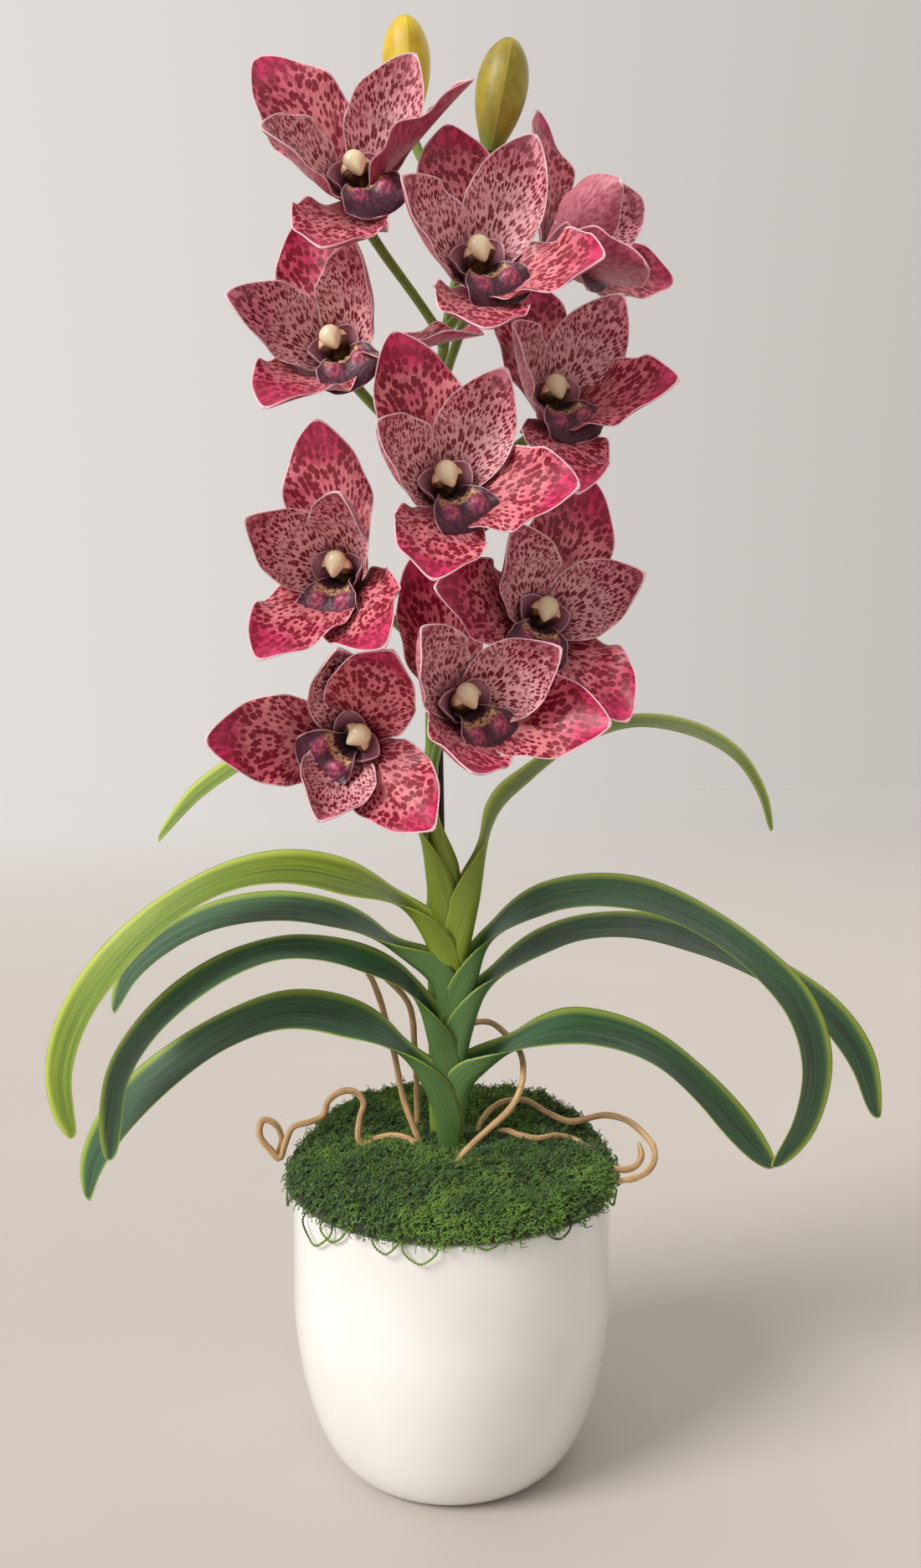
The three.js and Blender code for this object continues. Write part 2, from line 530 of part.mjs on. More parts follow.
function bloomFrame({ at, face }) {
  const [turn, tilt] = face.map(THREE.MathUtils.degToRad);
  const level = Math.cos(tilt);
  const facing = new THREE.Vector3(Math.sin(turn) * level, -Math.cos(turn) * level, Math.sin(tilt));
  const up = new THREE.Vector3(0, 0, 1).addScaledVector(facing, -facing.z).normalize();
  const right = up.clone().cross(facing);
  const frame = new THREE.Group();
  frame.position.set(...at);
  frame.quaternion.setFromRotationMatrix(new THREE.Matrix4().makeBasis(right, up, facing));
  return { frame, facing };
}

function pedicel({ at, face, joint }) {
  const { facing } = bloomFrame({ at, face });
  const start = stemAt(joint);
  const end = new THREE.Vector3(...at).addScaledVector(facing, HUB.face - HUB.depth - GAP);
  const reach = new THREE.Vector3(end.x - start.x, end.y - start.y, 0).normalize();
  const lead = start.clone().addScaledVector(reach, PEDICEL.out);
  lead.z += PEDICEL.up;
  const behind = end.clone().addScaledVector(facing, -PEDICEL.up);
  const curve = new THREE.CubicBezierCurve3(start, lead, behind, end);
  const radius = (along) => PEDICEL.root + (PEDICEL.neck - PEDICEL.root) * along ** 3;
  return solidOf(tube(curve, PEDICEL.steps, PEDICEL.sides, radius));
}

// Buds: three-sided drops that sit on short stalks
const BUDS = {
  bud_left: { from: [-22, 7, 707], to: [-25, 5, 761], radius: 12.5, joint: 640, lean: [-14, 0, 40] },
  bud_right: { from: [20.1, 5, 690], to: [31, 3, 748], radius: 13.5 },
};

function budSolid({ from, to, radius }) {
  const line = new THREE.LineCurve3(new THREE.Vector3(...from), new THREE.Vector3(...to));
  const profile = (along) => {
    const swell = Math.sin((Math.PI / 2) * (along / BUD.widest));
    if (along < BUD.widest) return radius * (BUD.base + (1 - BUD.base) * swell);
    const past = (along - BUD.widest) / (1 - BUD.widest);
    return radius * Math.max(BUD.tip, (1 - past ** 2.2) ** 0.6);
  };
  return tube(line, BUD.steps, BUD.sides, profile, (angle) => 1 + BUD.lobe * Math.cos(3 * angle));
}

function budStalk({ from, to, joint, lean }) {
  const start = stemAt(joint);
  const end = new THREE.Vector3(...from);
  const axis = new THREE.Vector3(...to).sub(end).normalize();
  end.addScaledVector(axis, -GAP);
  const lead = start.clone().add(new THREE.Vector3(...lean));
  const curve = new THREE.CubicBezierCurve3(start, lead, end.clone().addScaledVector(axis, -PEDICEL.up), end);
  return solidOf(tube(curve, PEDICEL.steps + 1, PEDICEL.sides, () => PEDICEL.neck - 0.4));
}

function stemNode(height) {
  const knuckle = new THREE.SphereGeometry(STEM.foot + 1, STEM.sides, 5);
  return solidOf(knuckle.scale(1, 1, 0.8).translate(...stemAt(height).toArray()));
}

function floweringStem() {
  const main = solidOf(tube(stemCurve, STEM.steps, STEM.sides, stemRadius));
  const nodes = STEM.rings.map(stemNode);
  const stalks = Object.values(BLOOMS).map(pedicel);
  return joined([main, ...nodes, ...stalks, budStalk(BUDS.bud_left)]).simplify(SLIVER / 2);
}

// Assembly
piece('pot', 'pot', potShell());
const holes = plainHoles();
piece('filler', 'filler', geometryOf(cut(solidOf(fillerPlug()), holes)));
const rootNames = Object.keys(ROOTS);
const leafGeometries = Object.entries(LEAVES).map(([name, spec]) => [name, leafBlade(spec)]);
const leafPocket = solidOf(rod([0, 0, LEAVES.leaf_left_5.base - 2], [0, 0, HOLE.top], MOSS.pocket, 10));
const mossTools = [...holes, leafPocket, ...rootNames.map((name) => rootSolid(name, ROOT.sink))];
piece('moss', 'moss', geometryOf(largestBody(cut(solidOf(mossMound()), mossTools))));
piece('leaf_stalk', 'stem', rod([0, 0, STALK.foot], [0, 0, STALK.top], STALK.radius, 8));
for (const [name, geometry] of leafGeometries) {
  piece(name, YOUNG.includes(name) ? 'youngLeaf' : 'leaf', geometry);
}
for (const name of rootNames) piece(name, 'root', geometryOf(rootSolid(name)));
piece('support_stick', 'stick', rod(STICK.foot, STICK.top, STICK.radius, 8));
piece('flower_stem', 'stem', geometryOf(floweringStem()));
for (const [name, bloom] of Object.entries(BLOOMS)) {
  const { frame } = bloomFrame(bloom);
  plant.add(frame);
  const clearance = bloomBody(bloom, GAP);
  const post = largestBody(cut(column(bloom.lip), [clearance]));
  const lipSolid = largestBody(cut(lip(bloom.lip), [clearance, column(bloom.lip, GAP)]));
  piece(`${name}_tepals`, 'tepal', geometryOf(bloomBody(bloom).simplify(SLIVER)), frame);
  piece(`${name}_lip`, 'lip', geometryOf(lipSolid.simplify(SLIVER / 4)), frame);
  piece(`${name}_column`, 'column', geometryOf(post), frame);
}
for (const [name, bud] of Object.entries(BUDS)) piece(name, 'bud', budSolid(bud));

export default plant;
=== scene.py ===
# %% [markdown]
# # A potted orchid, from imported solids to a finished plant
# The plant is a cymbidium of the kind that florists arrange: ten spotted blooms on a staked stem,
# strap leaves, wiry roots and moss in a round-shouldered white pot. Plain solids give every piece its
# real place and size. This lesson grows the fine shapes over those solids and paints them.

# %% Load the solids and note their size
import math

import bpy
import numpy as np
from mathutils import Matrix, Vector


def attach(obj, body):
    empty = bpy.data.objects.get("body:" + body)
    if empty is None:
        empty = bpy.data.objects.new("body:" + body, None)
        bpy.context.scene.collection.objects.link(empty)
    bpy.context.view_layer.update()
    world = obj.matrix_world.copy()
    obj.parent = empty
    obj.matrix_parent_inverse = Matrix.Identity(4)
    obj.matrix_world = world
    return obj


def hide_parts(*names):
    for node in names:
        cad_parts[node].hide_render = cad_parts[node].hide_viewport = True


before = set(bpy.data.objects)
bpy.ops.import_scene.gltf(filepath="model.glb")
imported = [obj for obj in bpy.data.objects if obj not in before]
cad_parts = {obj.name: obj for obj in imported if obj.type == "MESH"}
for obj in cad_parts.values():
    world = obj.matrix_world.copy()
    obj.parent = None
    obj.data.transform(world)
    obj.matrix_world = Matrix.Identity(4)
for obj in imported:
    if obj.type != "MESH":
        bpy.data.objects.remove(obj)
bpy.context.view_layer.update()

MM = 0.001

# %% [markdown]
# ## Curves and meshes from arrays
# Most of the plant follows curves: the stem, the roots and the middle line of every leaf. A centripetal
# Catmull-Rom curve passes through given points without loops, so a route can be read off the plant and
# typed in. Everything here is in millimetres, as a gardener would measure it.

# %% Smooth routes and where a walk along them gets to
def unit(vectors):
    return vectors / np.maximum(np.linalg.norm(vectors, axis=-1, keepdims=True), 1e-9)


def route_through(points, per_span=32):
    """A smooth line through the points, with as many steps from each to the next."""
    points = np.asarray(points, float)
    points = np.vstack([2 * points[0] - points[1], points, 2 * points[-1] - points[-2]])
    found = []
    for p0, p1, p2, p3 in zip(points, points[1:], points[2:], points[3:]):
        d0, d1, d2 = (np.linalg.norm(b - a) ** 0.5 for a, b in ((p0, p1), (p1, p2), (p2, p3)))
        start = ((p1 - p0) / d0 - (p2 - p0) / (d0 + d1) + (p2 - p1) / d1) * d1
        end = ((p2 - p1) / d1 - (p3 - p1) / (d1 + d2) + (p3 - p2) / d2) * d1
        t = np.linspace(0, 1, per_span, endpoint=False)[:, None]
        found.append(p1 + start * t + (3 * (p2 - p1) - 2 * start - end) * t ** 2
                     + (2 * (p1 - p2) + start + end) * t ** 3)
    return np.vstack([*found, points[-2]])


def distances(route):
    steps = np.linalg.norm(np.diff(route, axis=0), axis=1)
    return np.concatenate([[0], np.cumsum(steps)])


def walk(route, runs):
    """Points and directions on a route at the given distances from its start."""
    far = distances(route)
    place = np.stack([np.interp(runs, far, axis) for axis in route.T], axis=-1)
    heading = np.gradient(route, far, axis=0)
    return place, unit(np.stack([np.interp(runs, far, axis) for axis in heading.T], axis=-1))


def bend(start, lead, behind, end, steps=24):
    """One curve from start to end that leaves towards lead and arrives from behind."""
    t = np.linspace(0, 1, steps + 1)[:, None]
    start, lead, behind, end = (np.asarray(p, float) for p in (start, lead, behind, end))
    return ((1 - t) ** 3 * start + 3 * (1 - t) ** 2 * t * lead
            + 3 * (1 - t) * t ** 2 * behind + t ** 3 * end)


def eased(value, low, high):
    """A smooth step from 0 at low to 1 at high."""
    share = np.clip((value - low) / (high - low), 0, 1)
    return share * share * (3 - 2 * share)

corner = route_through([(0, 0, 0), (50, 0, 0), (50, 50, 0)])
print("a rounded corner of 50 and 50 mm measures", round(distances(corner)[-1]), "mm")

# %% Sheets that end in a point
def ring_faces(rings, around):
    return [(row * around + c, row * around + (c + 1) % around,
             (row + 1) * around + (c + 1) % around, (row + 1) * around + c)
            for row in range(rings - 1) for c in range(around)]


def facing_out(points, faces):
    """Turns all faces over if together they enclose a negative volume."""
    volume = 0.0
    for face in faces:
        a, b, c = points[face[0]], points[face[1]], points[face[2]]
        volume += np.dot(a, np.cross(b, c))
        if len(face) == 4:
            volume += np.dot(a, np.cross(c, points[face[3]]))
    return faces if volume > 0 else [face[::-1] for face in faces]


def thick_sheet(grid, across, thick, inner):
    """A middle surface that ends in a point becomes a closed sheet with rounded margins."""
    rows, columns, _ = grid.shape
    normal = unit(np.cross(np.gradient(grid, axis=0), np.gradient(grid, axis=1)))
    normal = normal * np.sign((normal * inner[:, None]).sum())
    half = (thick / 2 * np.sqrt(np.clip(1 - across ** 6, 0, 1)))[:, None]
    ring = np.concatenate([grid + normal * half, (grid - normal * half)[:, -2:0:-1]], axis=1)
    around = ring.shape[1]
    points = np.vstack([ring[:-1].reshape(-1, 3), grid[-1, :1]])
    last, tip = (rows - 2) * around, len(points) - 1
    faces = ring_faces(rows - 1, around)
    faces += [(last + c, last + (c + 1) % around, tip) for c in range(around)]
    faces += [(0, around - 1, 1), (columns - 2, columns, columns - 1)]
    faces += [(c, around - c, around - c - 1, c + 1) for c in range(1, columns - 2)]
    return points, facing_out(points, faces)


def sheet_fact(values):
    """One number for each point of a thick sheet, from one for each point of its middle surface."""
    ring = np.concatenate([values, values[:, -2:0:-1]], axis=1)
    return np.append(ring[:-1].ravel(), values[-1].mean())

# %% Lofts
def closed_loft(rings):
    """Rings of points, each closed on itself, joined into a skin with both ends filled."""
    count, around, _ = rings.shape
    points = np.vstack([rings.reshape(-1, 3), rings[0].mean(0), rings[-1].mean(0)])
    foot, top = len(points) - 2, len(points) - 1
    last = (count - 1) * around
    faces = ring_faces(count, around)
    faces += [(foot, (c + 1) % around, c) for c in range(around)]
    faces += [(last + c, last + (c + 1) % around, top) for c in range(around)]
    return points, facing_out(points, faces)


def turned_rings(profile, sides):
    """Level circles, one for each pair of a radius and a height."""
    angle = np.linspace(0, 2 * np.pi, sides, endpoint=False)
    return np.stack([np.stack([r * np.cos(angle), r * np.sin(angle), np.full(sides, float(z))], axis=1)
                     for r, z in profile])


cone, cone_faces = closed_loft(turned_rings([(2, 0), (1, 5)], 12))
print("a turned cone:", len(cone), "points", len(cone_faces), "faces")

# %% Pieces, and the solids they stand for
class Gathered:
    """Shapes that end up in one mesh, with what the paint needs to know at each point."""

    def __init__(self, *facts):
        self.points, self.faces, self.finish = [], [], []
        self.facts = {name: [] for name in facts}

    def add(self, points, faces, finish=0, **facts):
        shift = sum(len(p) for p in self.points)
        self.points.append(points)
        self.faces += [tuple(i + shift for i in face) for face in faces]
        self.finish += [finish] * len(faces)
        for name, values in facts.items():
            self.facts[name].append(np.broadcast_to(values, (len(points), 3)))

    def piece(self, name, finishes):
        mesh = bpy.data.meshes.new(name)
        mesh.from_pydata((np.vstack(self.points) * MM).tolist(), [], self.faces)
        for finish in finishes:
            mesh.materials.append(finish)
        mesh.polygons.foreach_set("material_index", self.finish)
        mesh.polygons.foreach_set("use_smooth", [True] * len(self.faces))
        for fact, values in self.facts.items():
            written = mesh.attributes.new(fact, "FLOAT_VECTOR", "POINT")
            written.data.foreach_set("vector", np.vstack(values).astype(np.float32).ravel())
        piece = bpy.data.objects.new(name, mesh)
        bpy.context.scene.collection.objects.link(piece)
        return piece


def stands_for(piece, slot, *nodes):
    """The piece rides on the plant and is shown in place of these solids."""
    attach(piece, "root")
    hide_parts(*nodes)
    print(piece.name, len(piece.data.polygons), "faces")


# %% [markdown]
# ## Building node trees in a script
# Materials and Geometry Nodes share most of their small nodes, so the same few helpers write both.
# A helper takes either a number or another node's socket, which keeps a recipe close to how it would be
# said aloud: mix this into that where the margin is near.

# %% Helpers for node trees
def node(tree, kind, sockets=None, **settings):
    made = tree.nodes.new(kind)
    for setting, value in settings.items():
        setattr(made, setting, value)
    for name, value in (sockets or {}).items():
        if isinstance(value, bpy.types.NodeSocket):
            tree.links.new(value, made.inputs[name])
        else:
            made.inputs[name].default_value = value
    return made


def calc(tree, operation, *values):
    return node(tree, "ShaderNodeMath", dict(enumerate(values)), operation=operation).outputs[0]


def times(tree, value, *others):
    for other in others:
        value = calc(tree, "MULTIPLY", value, other)
    return value


def less(tree, value):
    """What is left of one when the value is taken away."""
    return calc(tree, "SUBTRACT", 1.0, value)


def blend(tree, share, first, second):
    sockets = {0: share, 6: first, 7: second}
    return node(tree, "ShaderNodeMix", sockets, data_type="RGBA").outputs[2]


def rise(tree, value, low, high):
    sockets = {"Value": value, "From Min": low, "From Max": high}
    return node(tree, "ShaderNodeMapRange", sockets, interpolation_type="SMOOTHSTEP").outputs[0]


def between(tree, value, rises, falls):
    """One between two slopes, each a pair of values, and nothing outside them."""
    return times(tree, rise(tree, value, *rises), less(tree, rise(tree, value, *falls)))


def vector(tree, x, y, z):
    return node(tree, "ShaderNodeCombineXYZ", {0: x, 1: y, 2: z}).outputs[0]


def vector_calc(tree, operation, *values):
    return node(tree, "ShaderNodeVectorMath", dict(enumerate(values)), operation=operation).outputs[0]


def scaled(tree, value, size):
    return node(tree, "ShaderNodeVectorMath", {0: value, "Scale": size}, operation="SCALE").outputs[0]


def parts(tree, value):
    return node(tree, "ShaderNodeSeparateXYZ", {0: value}).outputs

# %% Helpers for paint
def cloud(tree, place, scale, detail=2.0, rough=0.5):
    sockets = {"Vector": place, "Scale": scale, "Detail": detail, "Roughness": rough}
    return node(tree, "ShaderNodeTexNoise", sockets).outputs["Fac"]


def fact(tree, name):
    return node(tree, "ShaderNodeAttribute", attribute_name=name).outputs["Vector"]


def paint(red, green, blue):
    """A screen colour, 0 to 255, as the linear colour that the nodes work in."""
    screen = np.array([red, green, blue]) / 255
    linear = np.where(screen <= 0.04045, screen / 12.92, ((screen + 0.055) / 1.055) ** 2.4)
    return (*linear.tolist(), 1.0)


def new_finish(name, **shader):
    material = bpy.data.materials.new(name)
    material.use_nodes = True
    surface = material.node_tree.nodes["Principled BSDF"]
    for socket, value in shader.items():
        surface.inputs[socket.replace("_", " ")].default_value = value
    return material, material.node_tree, surface


def dress(tree, surface, colour, height=None, depth=0.0):
    """Colour and, where there is one, a relief whose depth is in millimetres."""
    tree.links.new(colour, surface.inputs["Base Color"])
    if height is not None:
        sockets = {"Height": height, "Distance": depth * MM}
        bump = node(tree, "ShaderNodeBump", sockets)
        tree.links.new(bump.outputs[0], surface.inputs["Normal"])


# %% [markdown]
# ## The skin of the blooms
# The blooms are painted foam: a pale ground, dark crimson drops that run along the veins, streaks towards
# the tip, and a thin pale line where the foam is cut. A picture would stretch over such curled shapes.
# Instead each point knows its vein and its distance along it, and the drops are cells of a Voronoi
# pattern in those two numbers, so they follow the veins however the tepal curls.

# %% Drops along the veins
VEINS = {"root": 10.0, "reach": 40.0, "spread": 1.6, "fork": (36, 52)}
DROP = {"shake": (0.45, 0.45, 0.0), "least": 0.55, "blur": 0.05}
CENTRE = (0.5, 0.5, 0.5)


def drops(tree, fan, run, number, wide, long, size):
    """Dark drops: cells that are longer along the vein than across it."""
    place = vector(tree, calc(tree, "DIVIDE", fan, wide), calc(tree, "DIVIDE", run, long), number)
    shaken = node(tree, "ShaderNodeTexNoise", {"Vector": place, "Scale": 1.3, "Detail": 1.0})
    away = vector_calc(tree, "SUBTRACT", shaken.outputs["Color"], CENTRE)
    moved = vector_calc(tree, "MULTIPLY_ADD", away, DROP["shake"], place)
    cells = node(tree, "ShaderNodeTexVoronoi", {"Vector": moved, "Scale": 1.0}, voronoi_dimensions="2D")
    own = parts(tree, cells.outputs["Color"])[0]
    reach = times(tree, calc(tree, "ADD", own, DROP["least"]), size)
    inward = calc(tree, "SUBTRACT", reach, cells.outputs["Distance"])
    return rise(tree, inward, -DROP["blur"], DROP["blur"])

# %% Finish of petals and sepals
def tepal_finish(name, look):
    material, tree, surface = new_finish(name, Roughness=0.45, Sheen_Weight=0.05, Sheen_Roughness=0.4)
    fan, run, number = parts(tree, fact(tree, "vein"))
    margin, along, front = parts(tree, fact(tree, "zone"))
    wide, long = look["drop"]

    # Drops leave the root plain, get finer where the veins fork, and fade at the tip.
    near = drops(tree, fan, run, number, wide, long, look["size"])
    far = drops(tree, times(tree, fan, 2.0), run, number, wide, long * 0.8, look["size"])
    forked = rise(tree, run, *VEINS["fork"])
    spots = calc(tree, "ADD", times(tree, near, less(tree, forked)), times(tree, far, forked))
    rooted = rise(tree, run, VEINS["root"] + 2, VEINS["root"] + 12)
    faded = less(tree, times(tree, rise(tree, along, 0.8, 1.0), look["fade"]))
    spotted = times(tree, spots, rooted, faded)

    # Streaks grow towards the tip, out of a grain that runs with the veins.
    grain = cloud(tree, vector(tree, times(tree, fan, 1.1), times(tree, run, 0.22), number), 1.0, detail=3.0)
    streaks = times(tree, rise(tree, grain, 0.48, 0.56), rise(tree, along, 0.55, 0.95), look["streaks"])
    spotted = calc(tree, "MAXIMUM", spotted, streaks)

    # The ground turns from the root's painted shade to its own, and in patches to the tip's.
    patches = cloud(tree, vector(tree, fan, run, number), 0.06)
    ground = blend(tree, rise(tree, along, 0.02, 0.4), look["root"], look["ground"])
    ground = blend(tree, rise(tree, calc(tree, "ADD", along, patches), 0.95, 1.5), ground, look["tip"])
    ground = blend(tree, times(tree, rise(tree, grain, 0.42, 0.62), 0.14), ground, look["spot"])
    inner = blend(tree, spotted, ground, look["spot"])

    # The back is plain with faint streaks, and the cut edge is pale all round.
    behind = blend(tree, rise(tree, grain, 0.35, 0.65), look["back"], look["back_streak"])
    skin = blend(tree, rise(tree, front, 0.35, 0.65), behind, inner)
    edge = less(tree, rise(tree, margin, 0.35, 0.9))
    skin = blend(tree, times(tree, edge, 0.85), skin, look["rim"])
    dress(tree, surface, skin, grain, 0.35)
    return material

# %% The two looks of a bloom
# The root tone is painted shade, where the centre of the bloom lies deep and dark.
PETAL_LOOK = {
    "drop": (2.3, 4.2), "size": 0.34, "fade": 0.3, "streaks": 0.55,
    "root": paint(198, 130, 132), "ground": paint(240, 180, 186), "tip": paint(222, 132, 152),
    "spot": paint(120, 2, 32), "back": paint(204, 124, 140), "back_streak": paint(168, 76, 98),
    "rim": paint(246, 210, 216),
}
SEPAL_LOOK = {
    "drop": (3.3, 5.8), "size": 0.4, "fade": 0.75, "streaks": 0.7,
    "root": paint(116, 42, 52), "ground": paint(226, 136, 144), "tip": paint(206, 44, 100),
    "spot": paint(130, 0, 36), "back": paint(188, 88, 112), "back_streak": paint(150, 46, 76),
    "rim": paint(248, 205, 214),
}
petal_finish = tepal_finish("petal_paint", PETAL_LOOK)
sepal_finish = tepal_finish("sepal_paint", SEPAL_LOOK)
print("finishes:", petal_finish.name, sepal_finish.name)

# %% [markdown]
# ## The tepals
# An orchid has three sepals and two petals. They share one rule: a middle line leaves the centre at
# some clock angle, lifts forward and bends, and the breadth swells and closes along it. The sheet is
# cupped across and waves near its margin. The rule is the same that made the solids, with finer steps,
# a rounded cut edge, small ruffles and a shallow groove over the middle vein.

# %% Even and crowded steps, middle lines and the facts that the paint reads
FORWARD = np.array([0.0, 0.0, 1.0])


def toward_end(count):
    """Shares from 0 to 1 that crowd towards the end, where a tip is rounded."""
    return np.sin(np.linspace(0, np.pi / 2, count))


def toward_margins(count, crowd):
    """Shares from -1 to 1 that crowd towards both margins."""
    return np.sin(np.linspace(-1, 1, count) * np.pi / 2 * crowd) / math.sin(np.pi / 2 * crowd)


def clock_axes(clock):
    """Away from the centre, and sideways, for a hand at this clock angle seen from the front."""
    theta = math.radians(clock)
    return (np.array([math.sin(theta), math.cos(theta), 0]),
            np.array([math.cos(theta), -math.sin(theta), 0]))


def middle_line(slope_at, length, start, count=400):
    """Distance outward and forward along a line whose slope is known at every share of it."""
    share = np.linspace(0, 1, count + 1)
    slope = slope_at(share)
    steps = np.stack([np.cos(slope), np.sin(slope)], axis=1) * length / count
    path = np.asarray(start) + np.vstack([[0, 0], np.cumsum((steps[1:] + steps[:-1]) / 2, axis=0)])
    return lambda along: np.stack([np.interp(along, share, path[:, 0]),
                                   np.interp(along, share, path[:, 1])], axis=-1)


def sheet_axes(slope_at, length, start, along, outward):
    """The middle line of a sheet, and at each point of it the way ahead and the way up."""
    path = middle_line(slope_at, length, start)(along)
    slope = slope_at(along)[:, None]
    ahead = np.cos(slope) * outward + np.sin(slope) * FORWARD
    upper = np.cos(slope) * FORWARD - np.sin(slope) * outward
    return path[:, :1] * outward + path[:, 1:] * FORWARD, ahead, upper


def sheet_facts(fan, run, number, margin, along):
    """The vein and zone vectors of a thick sheet: front is 1 on its inner face and 0 behind."""
    shape = fan.shape
    front = np.concatenate([np.ones(shape), np.zeros((shape[0], shape[1] - 2))], axis=1)
    front[:, [0, shape[1] - 1]] = 0.5
    front = np.append(front[:-1].ravel(), 0.5)
    fan, run, margin, along = (sheet_fact(np.broadcast_to(v, shape)) for v in (fan, run, margin, along))
    vein = np.stack([fan, run, np.full(len(fan), float(number))], axis=1)
    return vein, np.stack([margin, along, front], axis=1)


# %% Breadth and height of a tepal
TEPAL = {"thick": 1.15, "rows": 46, "columns": 33, "crowd": 0.93, "hook": 16}
TEPAL_FORM = {"root": 0.34, "widest": 0.52, "blunt": 0.62, "waves": 1.25, "point": 0.045, "ruffle": 1.3}
SEPAL = {"length": 72, "width": 47, "cup": 0.55, "wave": 2.2, "bend": 2, "ring": 4.8, "rise": -0.4,
         "ruffle": 2.1}
PETAL = {"length": 62, "width": 44, "cup": 0.95, "wave": 1.4, "bend": -10, "ring": 3.6, "rise": 0.8}
RUFFLES = 3.1
GROOVE = {"deep": 0.5, "wide": 0.06}


def tepal_breadth(along, form):
    root, widest, blunt = (form[key] for key in ("root", "widest", "blunt"))
    opening = root + (1 - root) * np.sin(np.pi / 2 * np.minimum(along / widest, 1))
    past = np.clip((along - widest) / (1 - widest), 0, 1)
    return np.where(along < widest, opening, (1 - past ** 2) ** blunt)


def tepal_height(a, b, half, breadth, form, clock):
    """How far the sheet stands over its middle line: the cup, the waves, the ruffles, the groove."""
    cup = half * (1 - np.cos(b * form["cup"])) / form["cup"]
    wave = form["wave"] * b ** 2 * np.sin(2 * np.pi * a * form["waves"] + b * 1.3 + clock)
    ruffle = form["ruffle"] * b ** 4 * np.sin(2 * np.pi * a * RUFFLES + 2 * clock + 3 * np.sign(b))
    groove = GROOVE["deep"] * np.exp(-(b / GROOVE["wide"]) ** 2) * (1 - a)
    return cup + (wave + ruffle) * breadth - groove


halfway = tepal_breadth(np.array(0.5), TEPAL_FORM)
print("breadth of a tepal halfway along:", round(float(halfway), 3))

# %% One tepal
def tepal(place, form, number):
    """One tepal in its bloom's own axes: right, up and forward. Its number gives it its own hook."""
    clock, lift, *roll = place
    roll = math.radians(sum(roll))
    form = {**TEPAL_FORM, **form}
    outward, sideways = clock_axes(clock)
    along, across = toward_end(TEPAL["rows"]), toward_margins(TEPAL["columns"], TEPAL["crowd"])
    hook = TEPAL["hook"] * math.sin(3 * clock + number)

    def slope_at(share):
        return np.radians(lift + form["bend"] * (1 - 2 * share) + hook * share ** 5)

    start = (form["ring"], form["rise"])
    middle, ahead, upper = sheet_axes(slope_at, form["length"], start, along, outward)
    middle = middle + ahead * (form["point"] * form["length"] * along ** 18)[:, None]
    wide = np.cos(roll) * sideways + np.sin(roll) * upper
    upper = np.cos(roll) * upper - np.sin(roll) * sideways

    a, b = along[:, None], across[None, :]
    breadth = tepal_breadth(a, form)
    half = form["width"] / 2 * breadth
    side = half * np.sin(b * form["cup"]) / form["cup"]
    height = tepal_height(a, b, half, breadth, form, clock)
    grid = middle[:, None] + side[..., None] * wide[:, None] + height[..., None] * upper[:, None]
    points, faces = thick_sheet(grid, across, TEPAL["thick"], upper)

    flat_x, flat_y = half * b, a * form["length"] + VEINS["root"]
    fan = flat_x * (VEINS["reach"] / flat_y) ** VEINS["spread"]
    run = np.sqrt(VEINS["spread"] * flat_x ** 2 + flat_y ** 2)
    margin = np.minimum(half * (1 - np.abs(b)), (1 - a) * form["length"])
    return points, faces, *sheet_facts(fan, run, number, margin, a)


